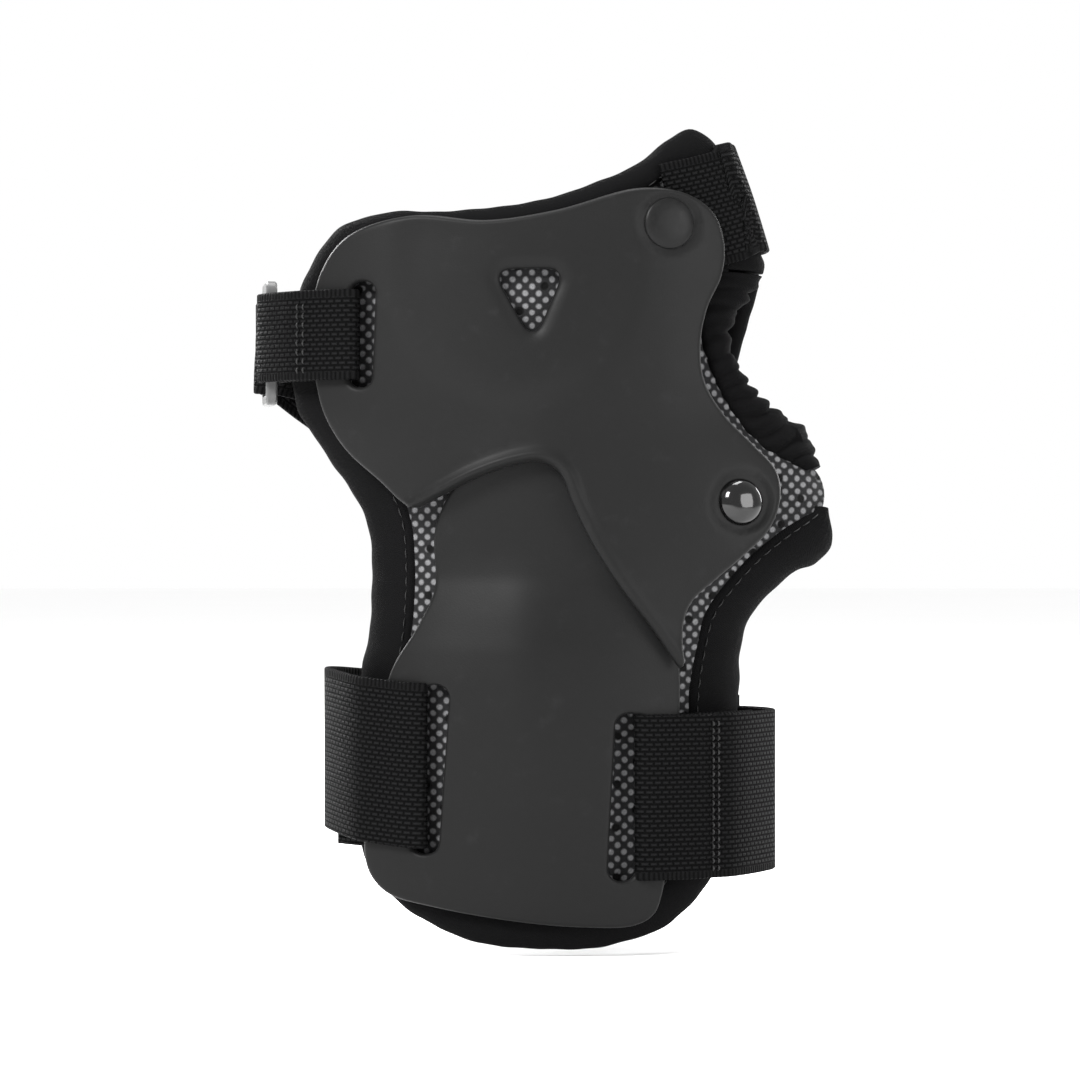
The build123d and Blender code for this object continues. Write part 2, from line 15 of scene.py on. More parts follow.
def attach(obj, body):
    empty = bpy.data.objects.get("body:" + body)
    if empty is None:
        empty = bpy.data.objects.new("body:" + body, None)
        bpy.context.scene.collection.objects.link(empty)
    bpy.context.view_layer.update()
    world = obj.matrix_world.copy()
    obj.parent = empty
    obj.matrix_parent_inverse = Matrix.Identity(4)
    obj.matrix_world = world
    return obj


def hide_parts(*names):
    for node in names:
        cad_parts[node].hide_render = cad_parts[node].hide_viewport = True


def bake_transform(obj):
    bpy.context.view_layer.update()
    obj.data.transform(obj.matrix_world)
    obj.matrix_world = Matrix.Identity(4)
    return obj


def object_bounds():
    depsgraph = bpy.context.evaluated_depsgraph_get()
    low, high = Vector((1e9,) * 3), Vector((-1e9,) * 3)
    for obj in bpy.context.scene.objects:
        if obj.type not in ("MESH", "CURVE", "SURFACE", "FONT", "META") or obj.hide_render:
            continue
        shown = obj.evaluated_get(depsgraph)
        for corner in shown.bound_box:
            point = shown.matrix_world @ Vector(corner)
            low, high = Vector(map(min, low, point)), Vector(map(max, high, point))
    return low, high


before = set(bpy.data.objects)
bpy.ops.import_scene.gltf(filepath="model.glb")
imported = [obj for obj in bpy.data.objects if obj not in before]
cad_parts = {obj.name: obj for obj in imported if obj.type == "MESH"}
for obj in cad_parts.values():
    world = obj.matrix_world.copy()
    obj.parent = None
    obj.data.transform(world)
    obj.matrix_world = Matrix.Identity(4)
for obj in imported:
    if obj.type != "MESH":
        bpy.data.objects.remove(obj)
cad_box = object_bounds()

MM = 0.001

# ---------------------------------------------------------------------------------------------
# Surfaces that everything lies on. Stations are (height, middle, half width), in millimetres.
# ---------------------------------------------------------------------------------------------
TROUGH_STATIONS = [
    (0, 1.5, 42), (30, 1.5, 42), (60, 1.5, 42), (74, 5, 43.2), (88, 13, 50.5), (99, 11, 52),
    (118, -0.5, 54), (135, -0.8, 54), (152, -0.8, 54), (184, 0, 50),
]
ARCH_STATIONS = [
    (78, 4, 60), (99, 3.5, 59), (118, 1, 56), (135, -1.5, 54.5), (152, -2.5, 53), (168, -4.7, 50.2),
    (184, -8.5, 48),
]
TROUGH_CENTRE_Y, TROUGH_DEPTH, TROUGH_WIDEN = 15, 40, 1.22
ARCH_CENTRE_Y, ARCH_HEIGHT, ARCH_UNIT = -8, 32, 55
CUFF_CENTRE, CUFF_RADIUS = (7, -61), 95
WEB, WEB_EDGE = 1.4, 0.5  # the webbing's thickness and the radius of its rounded edge
HEIGHTS = np.arange(-15.0, 205.0)


def smoothed(stations, column):
    """A station value at every height, with its corners rounded off."""
    rows = [station[0] for station in stations]
    values = np.interp(HEIGHTS, rows, [station[column] for station in stations])
    weights = np.exp(-0.5 * (np.arange(-9, 10) / 3) ** 2)
    return np.convolve(np.pad(values, 9, mode="edge"), weights / weights.sum(), mode="valid")


TROUGH_MIDDLE, TROUGH_HALF = smoothed(TROUGH_STATIONS, 1), smoothed(TROUGH_STATIONS, 2)
ARCH_MIDDLE, ARCH_HALF = smoothed(ARCH_STATIONS, 1), smoothed(ARCH_STATIONS, 2)


def trough(u, v):
    """The palm side: u is X and v is Z."""
    middle = np.interp(v, HEIGHTS, TROUGH_MIDDLE)
    across = np.interp(v, HEIGHTS, TROUGH_HALF) * TROUGH_WIDEN
    share = np.clip((u - middle) / across, -0.995, 0.995)
    return np.stack([u, TROUGH_CENTRE_Y - TROUGH_DEPTH * np.sqrt(1 - share**2), v], -1)


def arch(u, v):
    """The back of the hand: u runs round the arch from its crown towards the thumb, and v is Z."""
    middle, half = np.interp(v, HEIGHTS, ARCH_MIDDLE), np.interp(v, HEIGHTS, ARCH_HALF)
    angle = u / ARCH_UNIT
    return np.stack([middle + half * np.sin(angle), ARCH_CENTRE_Y + ARCH_HEIGHT * np.cos(angle), v], -1)


def cuff(u, v):
    """The back of the cuff: u runs round it, from its middle."""
    angle = u / CUFF_RADIUS
    x = CUFF_CENTRE[0] + CUFF_RADIUS * np.sin(angle)
    return np.stack([x, CUFF_CENTRE[1] + CUFF_RADIUS * np.cos(angle), v], -1)


INWARD = {trough: 1, arch: -1, cuff: -1}


def on(surface, u, v, out=0.0):
    """Points of a surface moved out by a distance, with the directions out of it."""
    u, v = np.asarray(u, float), np.asarray(v, float)
    step = 0.25
    along_u = surface(u + step, v) - surface(u - step, v)
    along_v = surface(u, v + step) - surface(u, v - step)
    normal = np.cross(along_u, along_v) * INWARD[surface]
    normal /= np.linalg.norm(normal, axis=-1, keepdims=True)
    return surface(u, v) + normal * np.asarray(out, float)[..., None], normal


def arch_u(x, z):
    """The arch's own coordinate of a point given by X and Z."""
    middle, half = np.interp(z, HEIGHTS, ARCH_MIDDLE), np.interp(z, HEIGHTS, ARCH_HALF)
    return np.arcsin(np.clip((x - middle) / half, -0.999, 0.999)) * ARCH_UNIT


def on_arch(points):
    """Points given by X and Z, in the arch's own coordinates."""
    return [(float(arch_u(x, z)), z) for x, z in points]


def plan_on_trough(x, z, out):
    """X and Y of the palm side's section, moved out by a distance, at X."""
    middle = np.interp(z, HEIGHTS, TROUGH_MIDDLE)
    across = np.interp(z, HEIGHTS, TROUGH_HALF) * TROUGH_WIDEN
    share = (x - middle) / (across + out)
    return (x, TROUGH_CENTRE_Y - (TROUGH_DEPTH + out) * (1 - share**2) ** 0.5)


def seen(points, out):
    """Places on the palm side whose points, moved out by a distance, are at the given X and Z."""
    points = np.array(points, float)
    at = points.copy()
    for _ in range(8):
        found = on(trough, at[:, 0], at[:, 1], out(at[:, 1]) if callable(out) else out)[0]
        at += points - found[:, [0, 2]]
    return at


# ---------------------------------------------------------------------------------------------
# Curves
# ---------------------------------------------------------------------------------------------
def catmull(points, closed=False, samples=12):
    """A smooth curve through points, of any number of coordinates."""
    p = np.asarray(points, float)
    count = len(p)
    if closed:
        p = np.concatenate([p[-1:], p, p[:2]])
    else:
        p = np.concatenate([2 * p[:1] - p[1:2], p, 2 * p[-1:] - p[-2:-1]])
    spans = count if closed else count - 1
    found = []
    for i in range(spans):
        a, b, c, d = p[i : i + 4]
        gaps = [max(np.linalg.norm(q - r), 1e-6) ** 0.5 for q, r in ((b, a), (c, b), (d, c))]
        knots = np.cumsum([0] + gaps)
        t = knots[1] + (knots[2] - knots[1]) * np.arange(samples)[:, None] / samples

        def between(q, r, first, last):
            return ((knots[last] - t) * q + (t - knots[first]) * r) / (knots[last] - knots[first])

        ab, bc, cd = between(a, b, 0, 1), between(b, c, 1, 2), between(c, d, 2, 3)
        found.append(between(between(ab, bc, 0, 2), between(bc, cd, 1, 3), 1, 2))
    if not closed:
        found.append(p[-2][None])
    return np.concatenate(found)


def lengths_along(line):
    """The distance along a line of points at each of them."""
    return np.concatenate([[0], np.cumsum(np.linalg.norm(np.diff(line, axis=0), axis=1))])


def evenly(line, step, closed=False):
    """The same line with points at an even step."""
    if closed:
        line = np.concatenate([line, line[:1]])
    along = lengths_along(line)
    count = max(int(round(along[-1] / step)), 4)
    at = np.linspace(0, along[-1], count + 1)
    if closed:
        at = at[:-1]
    return np.stack([np.interp(at, along, line[:, k]) for k in range(line.shape[1])], -1)


def smooth_loop(points, step=1.2):
    """A closed smooth outline with points at an even step."""
    return evenly(catmull(points, closed=True), step, closed=True)


def signed_area(loop):
    """Twice the area that a loop goes round, positive when it goes anticlockwise."""
    x, y = loop.T
    return float(np.sum(x * np.roll(y, -1) - np.roll(x, -1) * y))


def inside(points, loop):
    """Which points lie inside a closed loop."""
    x, y = points[:, 0][:, None], points[:, 1][:, None]
    x0, y0 = loop.T
    x1, y1 = np.roll(loop, -1, axis=0).T
    rising = (y0 <= y) & (y1 > y)
    falling = (y1 <= y) & (y0 > y)
    side = (x1 - x0) * (y - y0) - (x - x0) * (y1 - y0)
    return ((rising & (side > 0)).sum(1) - (falling & (side < 0)).sum(1)) != 0


def distance_to(points, line, closed=True):
    """How far points are from a line."""
    start = line if closed else line[:-1]
    end = np.roll(line, -1, axis=0) if closed else line[1:]
    run = end - start
    found = np.full(len(points), 1e9)
    for first in range(0, len(points), 4000):
        part = points[first : first + 4000, None, :] - start[None]
        t = np.clip((part * run).sum(-1) / np.maximum((run**2).sum(-1), 1e-9), 0, 1)
        gap = np.linalg.norm(part - t[..., None] * run[None], axis=-1).min(1)
        found[first : first + 4000] = gap
    return found


def ease(t):
    """A smooth step from 0 to 1."""
    t = np.clip(t, 0, 1)
    return t * t * (3 - 2 * t)


def bump(distance, width):
    """1 at no distance, falling smoothly to 0."""
    return np.exp(-((distance / width) ** 2))


# ---------------------------------------------------------------------------------------------
# Meshes
# ---------------------------------------------------------------------------------------------
def make_piece(name, points, faces, uvs, material):
    """A smooth-shaded object from points in millimetres, with one UV per point in millimetres."""
    mesh = bpy.data.meshes.new(name)
    mesh.from_pydata((np.asarray(points) * MM).tolist(), [], [list(map(int, f)) for f in faces])
    layer = mesh.uv_layers.new(name="UVMap")
    corner = np.empty(len(mesh.loops), int)
    mesh.loops.foreach_get("vertex_index", corner)
    layer.data.foreach_set("uv", np.asarray(uvs, float)[corner].astype(np.float32).ravel())
    mesh.polygons.foreach_set("use_smooth", [True] * len(mesh.polygons))
    mesh.validate()
    mesh.update()
    piece = bpy.data.objects.new(name, mesh)
    bpy.context.scene.collection.objects.link(piece)
    piece.data.materials.append(material)
    return piece


def make_used(name, points, faces, uvs, material):
    """The same, without the points that no face uses."""
    used = np.unique(faces)
    new_index = np.full(len(points), -1)
    new_index[used] = np.arange(len(used))
    return make_piece(name, points[used], new_index[faces], uvs[used], material)


def settle(piece, body, slot, *nodes):
    """Makes a piece ride a body and stand for the solids it replaces. The slot is not used."""
    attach(piece, body)
    if nodes:
        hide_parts(*nodes)
    return piece


EDGE_ROWS = (0.12, 0.35, 0.7, 1.1)


def patch(name, surface, loop, material, top, bottom, holes=(), spacing=2.5, edge=0.3, rows=EDGE_ROWS):
    """A layer of a surface within a loop, with rounded edges.

    top and bottom are distances out, or functions of u, v and the distance from the edge. rows are the
    places of the points beside the edge, as shares of its radius.
    """
    loops = [loop if signed_area(loop) > 0 else loop[::-1]]
    loops += [hole if signed_area(hole) < 0 else hole[::-1] for hole in holes]
    border = np.concatenate(loops)
    edges, first = [], 0
    for ring in loops:
        edges += [(first + i, first + (i + 1) % len(ring)) for i in range(len(ring))]
        first += len(ring)

    def clearance(points):
        return np.min([distance_to(points, ring) for ring in loops], axis=0)

    extra = []
    for share in rows:
        for ring in loops:
            run = np.roll(ring, -1, axis=0) - np.roll(ring, 1, axis=0)
            run /= np.maximum(np.linalg.norm(run, axis=1, keepdims=True), 1e-9)
            moved = ring + np.stack([-run[:, 1], run[:, 0]], -1) * edge * share
            extra.append(moved[clearance(moved) > edge * share * 0.93])
    low, high = border.min(0), border.max(0)
    columns = np.arange(low[0], high[0] + spacing, spacing)
    lines = np.arange(low[1], high[1] + spacing, spacing * 0.866)
    gx, gy = np.meshgrid(columns, lines)
    gx = gx + (np.arange(len(lines)) % 2)[:, None] * spacing / 2
    grid = np.stack([gx.ravel(), gy.ravel()], -1)
    grid = grid[inside(grid, loops[0])]
    for ring in loops[1:]:
        grid = grid[~inside(grid, ring)]
    grid = grid[clearance(grid) > edge * rows[-1] + spacing * 0.45]
    flat = np.concatenate([border] + extra + [grid])
    made = delaunay_2d_cdt([Vector(p) for p in flat], edges, [], 0, 1e-7)
    flat = np.array([tuple(p) for p in made[0]])
    triangles = np.array([f for f in made[2] if len(f) == 3])
    centres = flat[triangles].mean(1)
    keep = inside(centres, loops[0])
    for ring in loops[1:]:
        keep &= ~inside(centres, ring)
    triangles = triangles[keep]
    a, b, c = flat[triangles[:, 0]], flat[triangles[:, 1]], flat[triangles[:, 2]]
    turned = np.cross(b - a, c - a) < 0
    triangles[turned] = triangles[turned][:, ::-1]
    if INWARD[surface] < 0:
        triangles = triangles[:, ::-1]
    far = clearance(flat)
    u, v = flat.T
    upper = top(u, v, far) if callable(top) else np.full(len(flat), float(top))
    lower = bottom(u, v, far) if callable(bottom) else np.full(len(flat), float(bottom))
    middle = (upper + lower) / 2
    fullness = np.sqrt(np.clip(1 - (1 - np.clip(far / edge, 0, 1)) ** 2, 0, 1))
    on_border = far < 1e-4
    fullness[on_border] = 0
    face, normal = on(surface, u, v)
    upper_points = face + normal * (middle + (upper - middle) * fullness)[:, None]
    lower_points = face + normal * (middle + (lower - middle) * fullness)[:, None]
    below = np.arange(len(flat)) + len(flat)
    below[on_border] = np.arange(len(flat))[on_border]
    faces = np.concatenate([triangles, below[triangles][:, ::-1]])
    points = np.concatenate([upper_points, lower_points])
    return make_used(name, points, faces, np.concatenate([flat, flat]), material)


def strip(name, middle, normals, thickness, material):
    """A band from a grid of its middle surface, rows along it and columns across, with rounded edges."""
    rows, columns = middle.shape[:2]
    along = lengths_along(middle[:, columns // 2])
    across = lengths_along(middle[rows // 2])
    nearest = np.minimum.outer(np.minimum(along, along[-1] - along), np.minimum(across, across[-1] - across))
    fullness = np.sqrt(np.clip(1 - (1 - np.clip(nearest / WEB_EDGE, 0, 1)) ** 2, 0, 1))
    raised = normals * (thickness / 2 * fullness[..., None])
    points = np.concatenate([(middle + raised).reshape(-1, 3), (middle - raised).reshape(-1, 3)])
    index = np.arange(rows * columns).reshape(rows, columns)
    on_border = np.zeros((rows, columns), bool)
    on_border[[0, -1]] = True
    on_border[:, [0, -1]] = True
    under = np.where(on_border, index, index + rows * columns)
    quads = np.stack([index[:-1, :-1], index[1:, :-1], index[1:, 1:], index[:-1, 1:]], -1)
    turned = np.stack([under[:-1, :-1], under[:-1, 1:], under[1:, 1:], under[1:, :-1]], -1)
    faces = np.concatenate([quads.reshape(-1, 4), turned.reshape(-1, 4)])
    step_along, step_across = middle[1, 0] - middle[0, 0], middle[0, 1] - middle[0, 0]
    if np.dot(np.cross(step_along, step_across), normals[0, 0]) < 0:
        faces = faces[:, ::-1]
    uvs = np.stack(np.broadcast_arrays(along[:, None], across[None, :]), -1).reshape(-1, 2)
    return make_used(name, points, faces, np.concatenate([uvs, uvs]), material)


def across_steps(width):
    """Places across a band, closer together at its edges."""
    inner = np.linspace(-width / 2 + WEB_EDGE * 1.6, width / 2 - WEB_EDGE * 1.6, max(int(width / 1.2), 3))
    rim = np.array([0, 0.15, 0.4, 0.8]) * WEB_EDGE
    return np.concatenate([-width / 2 + rim, inner, (width / 2 - rim)[::-1]])


def band_along(name, path, normals, width, material, thickness=WEB, trim=None):
    """A band of webbing along a line in space, with its face towards the given directions."""
    tangent = np.gradient(path, axis=0)
    tangent /= np.linalg.norm(tangent, axis=1, keepdims=True)
    side = np.cross(normals, tangent)
    side /= np.linalg.norm(side, axis=1, keepdims=True)
    facing = np.cross(tangent, side)
    steps = across_steps(width)
    grid = path[:, None] + side[:, None] * steps[None, :, None]
    if trim is not None:
        grid = trim(grid)
    return strip(name, grid, np.repeat(facing[:, None], len(steps), 1), thickness, material)


def edge_rows(line):
    """The same line with rows added close to both ends, so that rounded ends have points."""
    along = lengths_along(line)
    rim = np.array([0.15, 0.4, 0.8]) * WEB_EDGE
    at = np.unique(np.concatenate([along, rim, along[-1] - rim]))
    return np.stack([np.interp(at, along, line[:, k]) for k in range(line.shape[1])], -1)


def plan_band(name, plan, z, width, material, outward_from, step=0.8, rise=None, **more):
    """Upright webbing along a smooth line in plan. rise is the change of height along it."""
    line = edge_rows(evenly(catmull(plan), step))
    share = lengths_along(line) / lengths_along(line)[-1]
    heights = np.full(len(line), float(z)) if rise is None else z + rise(share)
    path = np.column_stack([line, heights])
    tangent = np.gradient(line, axis=0)
    normals = np.column_stack([tangent[:, 1], -tangent[:, 0], np.zeros(len(line))])
    if np.sum(normals[:, :2] * (line - np.array(outward_from))) < 0:
        normals = -normals
    return band_along(name, path, normals, width, material, **more)


def rim(name, outer, inner, profile, material, relief, surface=trough):
    """A band wrapped round an edge, from its outer line to its inner line.

    profile is a closed list of (share of the way in, distance out), and relief gives the cloth's folds.
    """
    shares, heights = np.array(profile, float).T
    count, turns = len(outer), len(profile)
    along = lengths_along(outer)
    push = relief(along[:, None], shares[None, :]) * ease(np.minimum(along, along[-1] - along) / 3)[:, None]
    outwards = np.where(heights[None] > -2.6, push, -push)
    out = heights[None] + outwards * (0.35 + 0.65 * shares.clip(0, 1)[None])
    flat = outer[:, None] + (inner - outer)[:, None] * shares[None, :, None]
    flat += (outer - inner)[:, None] * (push * 0.11 * (1 - shares[None]).clip(0, 1))[..., None]
    points = on(surface, flat[..., 0], flat[..., 1], out)[0]
    index = np.arange(count * turns).reshape(count, turns)
    start, following = index[:-1], index[1:]
    faces = np.stack([start, np.roll(start, -1, axis=1), np.roll(following, -1, axis=1), following], -1)
    ends = [index[0][::-1].tolist(), index[-1].tolist()]
    around = np.concatenate([[0], np.cumsum(np.hypot(np.diff(shares) * 9, np.diff(heights)))])
    uvs = np.stack(np.broadcast_arrays(along[:, None], around[None]), -1).reshape(-1, 2)
    piece = make_piece(name, points.reshape(-1, 3), faces.reshape(-1, 4).tolist() + ends, uvs, material)
    fix_normals(piece)
    return piece


def fix_normals(piece):
    """Turns all faces of a closed piece outwards."""
    bm = bmesh.new()
    bm.from_mesh(piece.data)
    bmesh.ops.recalc_face_normals(bm, faces=bm.faces)
    bm.to_mesh(piece.data)
    bm.free()


def threads(name, rows, length, gap, radius):
    """Rows of sewn stitches: each row is a line of points and the directions out of the cloth."""
    sides, rings = 6, 5
    points, faces, uvs = [], [], []
    for line, normals in rows:
        along = lengths_along(line)
        starts = np.arange(gap, along[-1] - length, length + gap)
        for start in starts:
            first, last, out = (
                np.array([np.interp(place, along, values[:, k]) for k in range(3)])
                for place, values in ((start, line), (start + length, line), (start, normals))
            )
            run = (last - first) / max(np.linalg.norm(last - first), 1e-6)
            side = np.cross(out, run)
            base = len(points)
            for ring in range(rings):
                t = ring / (rings - 1)
                centre = first + (last - first) * t + out * radius * (1.5 * sin(pi * t) - 0.4)
                size = radius * (0.45 + 0.55 * sin(pi * t))
                for k in range(sides):
                    turn = 2 * pi * k / sides
                    points.append(centre + (side * cos(turn) + out * sin(turn)) * size)
                    uvs.append((start + t * length, k * 0.3))
            for ring in range(rings - 1):
                for k in range(sides):
                    a, b = base + ring * sides + k, base + ring * sides + (k + 1) % sides
                    faces.append((a, b, b + sides, a + sides))
            faces.append(tuple(base + k for k in range(sides))[::-1])
            faces.append(tuple(base + (rings - 1) * sides + k for k in range(sides)))
    piece = make_piece(name, np.array(points), faces, np.array(uvs), thread)
    fix_normals(piece)
    return piece


def lathe(name, centre, out, profile, material):
    """A round piece turned about a direction. profile holds (radius, height), from its top to its base."""
    sides = 48
    out = np.asarray(out, float) / np.linalg.norm(out)
    side = np.cross(out, (0, 0, 1.0))
    side /= np.linalg.norm(side)
    other = np.cross(out, side)
    profile = catmull(profile, samples=5)
    points, uvs = [centre + out * profile[0, 1]], [(0, 0)]
    for radius, height in profile[1:]:
        for k in range(sides):
            turn = 2 * pi * k / sides
            points.append(centre + out * height + (side * cos(turn) + other * sin(turn)) * radius)
            uvs.append((radius * cos(turn), radius * sin(turn)))
    faces = [(0, 1 + k, 1 + (k + 1) % sides) for k in range(sides)]
    for ring in range(len(profile) - 2):
        for k in range(sides):
            a, b = 1 + ring * sides + k, 1 + ring * sides + (k + 1) % sides
            faces.append((a, a + sides, b + sides, b))
    faces.append(tuple(1 + (len(profile) - 2) * sides + k for k in range(sides)))
    piece = make_piece(name, np.array(points), faces, np.array(uvs), material)
    fix_normals(piece)
    return piece


# ---------------------------------------------------------------------------------------------
# Materials
# ---------------------------------------------------------------------------------------------
class Value:
    """A number that shader nodes work out, which takes the usual operators."""

    def __init__(self, shader, socket):
        self.shader, self.socket = shader, socket

    def __add__(self, other):
        return self.shader.maths("ADD", self, other)

    def __sub__(self, other):
        return self.shader.maths("SUBTRACT", self, other)

    def __rsub__(self, other):
        return self.shader.maths("SUBTRACT", other, self)

    def __mul__(self, other):
        return self.shader.maths("MULTIPLY", self, other)

    def __truediv__(self, other):
        return self.shader.maths("DIVIDE", self, other)

    def __abs__(self):
        return self.shader.maths("ABSOLUTE", self)

    __radd__, __rmul__ = __add__, __mul__


class Shader:
    """A Principled material and short ways to add nodes to it."""

    def __init__(self, name, **sockets):
        self.material = bpy.data.materials.new(name)
        self.material.use_nodes = True
        self.tree = self.material.node_tree
        self.surface = self.tree.nodes["Principled BSDF"]
        for socket, value in sockets.items():
            self.surface.inputs[socket.replace("_", " ")].default_value = value

    def add(self, kind, inputs=None, **settings):
        """A node with settings and with inputs that are plain values, sockets or worked-out values."""
        node = self.tree.nodes.new(kind)
        for key, value in settings.items():
            setattr(node, key, value)
        for key, value in (inputs or {}).items():
            if isinstance(value, Value):
                value = value.socket
            if isinstance(value, bpy.types.NodeSocket):
                self.tree.links.new(value, node.inputs[key])
            else:
                node.inputs[key].default_value = value
        return node

    def value(self, kind, output, inputs, **settings):
        """One output of a new node, as a value to reckon with."""
        return Value(self, self.add(kind, inputs, **settings).outputs[output])

    def maths(self, operation, first, second=0.0):
        """A Math node's result."""
        return self.value("ShaderNodeMath", 0, {0: first, 1: second}, operation=operation)

    def uv(self, scale=(1, 1, 1), turn=0.0, move=(0, 0, 0)):
        """The piece's own coordinates in millimetres, scaled and turned."""
        source = self.add("ShaderNodeUVMap", uv_map="UVMap").outputs[0]
        inputs = {0: source, "Scale": scale, "Rotation": (0, 0, turn), "Location": move}
        return self.add("ShaderNodeMapping", inputs).outputs[0]

    def place(self, scale=1.0):
        """The place on the object, in metres times scale."""
        source = self.add("ShaderNodeTexCoord").outputs["Object"]
        return self.add("ShaderNodeMapping", {0: source, "Scale": (scale,) * 3}).outputs[0]

    def parts(self, vector):
        """The first two parts of a vector."""
        node = self.add("ShaderNodeSeparateXYZ", {0: vector})
        return Value(self, node.outputs[0]), Value(self, node.outputs[1])

    def drifted(self, vector, amount, **noise):
        """A vector moved a little about by noise."""
        drift = self.add("ShaderNodeTexNoise", {"Vector": vector, **noise}).outputs["Color"]
        inputs = {0: drift, 1: (0.5, 0.5, 0.5)}
        drift = self.add("ShaderNodeVectorMath", inputs, operation="SUBTRACT").outputs[0]
        inputs = {0: drift, 1: amount, 2: vector}
        return self.add("ShaderNodeVectorMath", inputs, operation="MULTIPLY_ADD").outputs[0]

    def noise(self, vector, scale, detail=3.0, roughness=0.5):
        """Noise from 0 to 1."""
        inputs = {"Vector": vector, "Scale": scale, "Detail": detail, "Roughness": roughness}
        return self.value("ShaderNodeTexNoise", "Fac", inputs)

    def waves(self, vector, scale, distortion, direction="DIAGONAL", **more):
        """Soft parallel bands from 0 to 1."""
        inputs = {"Vector": vector, "Scale": scale, "Distortion": distortion, **more}
        return self.value("ShaderNodeTexWave", "Fac", inputs, wave_type="BANDS", bands_direction=direction)

    def cells(self, vector, scale, dimensions="2D", **more):
        """The distance from the middle of the nearest cell."""
        inputs = {"Vector": vector, "Scale": scale, **more}
        return self.value("ShaderNodeTexVoronoi", "Distance", inputs, voronoi_dimensions=dimensions)

    def bricks(self, vector, gap, smooth, width, height):
        """0 on staggered bricks and 1 between them."""
        inputs = {"Vector": vector, "Scale": 1.0, "Mortar Size": gap, "Mortar Smooth": smooth,
                  "Brick Width": width, "Row Height": height}
        return self.value("ShaderNodeTexBrick", "Fac", inputs, offset=0.5)

    def remap(self, value, low, high, new_low=0.0, new_high=1.0, smooth=True):
        """A value carried from one range to another."""
        inputs = {"Value": value, "From Min": low, "From Max": high, "To Min": new_low, "To Max": new_high}
        kind = "SMOOTHSTEP" if smooth else "LINEAR"
        return self.value("ShaderNodeMapRange", 0, inputs, interpolation_type=kind)

    def blend(self, share, dark, light):
        """A colour between two colours or greys."""
        inputs = {0: share}
        for key, colour in ((6, dark), (7, light)):
            colour = (colour,) * 3 if isinstance(colour, float) else colour
            inputs[key] = (*colour, 1) if isinstance(colour, tuple) else colour
        return self.add("ShaderNodeMix", inputs, data_type="RGBA").outputs[2]

    def finish(self, colour, roughness=None, height=None, depth=0.0, strength=1.0):
        """Joins colour, roughness and bump, whose depth is in millimetres, to the surface."""
        self.tree.links.new(colour, self.surface.inputs["Base Color"])
        if roughness is not None:
            self.tree.links.new(roughness.socket, self.surface.inputs["Roughness"])
        if height is not None:
            inputs = {"Height": height, "Distance": depth * MM, "Strength": strength}
            self.tree.links.new(self.add("ShaderNodeBump", inputs).outputs[0], self.surface.inputs["Normal"])
        return self.material


def moulded_plastic(name, shade, specular=0.058):
    """Matt black plastic with a fine moulded grain, faint flow marks and light rubbing."""
    s = Shader(name, Specular_IOR_Level=specular)
    place = s.place()
    grain, flow = s.noise(place, 2600, 2, 0.6), s.noise(place, 28, 4, 0.55)
    rub = s.remap(s.noise(place, 170, 5, 0.7), 0.56, 0.8)
    colour = s.blend(rub * 0.5, shade, (shade * 1.9, shade * 1.9, shade * 1.95))
    rough = s.remap(flow, 0.25, 0.75, 0.38, 0.5) + rub * 0.08
    return s.finish(colour, rough, grain + flow * 0.5, 0.05, 0.55)


def satin_metal(name, shade, roughness, coat, specular):
    """Painted metal with a faint unevenness in the paint."""
    s = Shader(name, Specular_IOR_Level=specular, Coat_Weight=coat, Coat_Roughness=0.06)
    flow = s.noise(s.place(), 900, 3, 0.5)
    rough = s.remap(flow, 0.2, 0.8, roughness * 0.85, roughness * 1.2)
    return s.finish(s.blend(flow, shade * 0.8, shade * 1.2), rough, flow, 0.015, 0.3)


def net_fabric(name, turn, pitch):
    """A dark net whose openings show light grey, with sparse dark perforations."""
    s = Shader(name, Specular_IOR_Level=0.04)
    vector = s.drifted(s.uv(turn=turn), (0.6, 0.6, 0.6), Scale=0.22)
    opening = s.remap(s.cells(vector, 1 / pitch, Randomness=0.0), 0.42, 0.2)
    hole = s.remap(s.cells(vector, 1 / (pitch * 3.6), Randomness=0.22), 0.15, 0.09)
    strands = s.noise(vector, 4.2, 2, 0.6)
    light = s.blend(strands, (0.045, 0.045, 0.046), (0.15, 0.15, 0.154))
    dark = s.blend(strands, (0.004, 0.004, 0.0042), (0.014, 0.014, 0.0145))
    colour = s.blend(hole, s.blend(opening, dark, light), 0.003)
    height = 1.0 - opening * 0.6 - hole * 0.8 + strands * 0.35
    return s.finish(colour, s.remap(opening, 0, 1, 0.72, 0.9), height, 0.35, 0.9)


def stretch_binding(name, shade):
    """Soft black stretch cloth with a fine knit along it."""
    s = Shader(name, Specular_IOR_Level=0.012)
    ribs = s.waves(s.uv(scale=(1, 0.6, 1)), 1.55, 0.6, Detail=1.0)
    fuzz, folds = s.noise(s.uv(), 3.2, 4, 0.7), s.noise(s.uv(), 0.16, 2, 0.5)
    colour = s.blend(fuzz, shade * 0.7, (shade * 2.0, shade * 2.0, shade * 2.1))
    return s.finish(colour, s.remap(fuzz, 0.2, 0.8, 0.62, 0.8), ribs * 0.5 + fuzz + folds * 2.5, 0.16, 0.75)


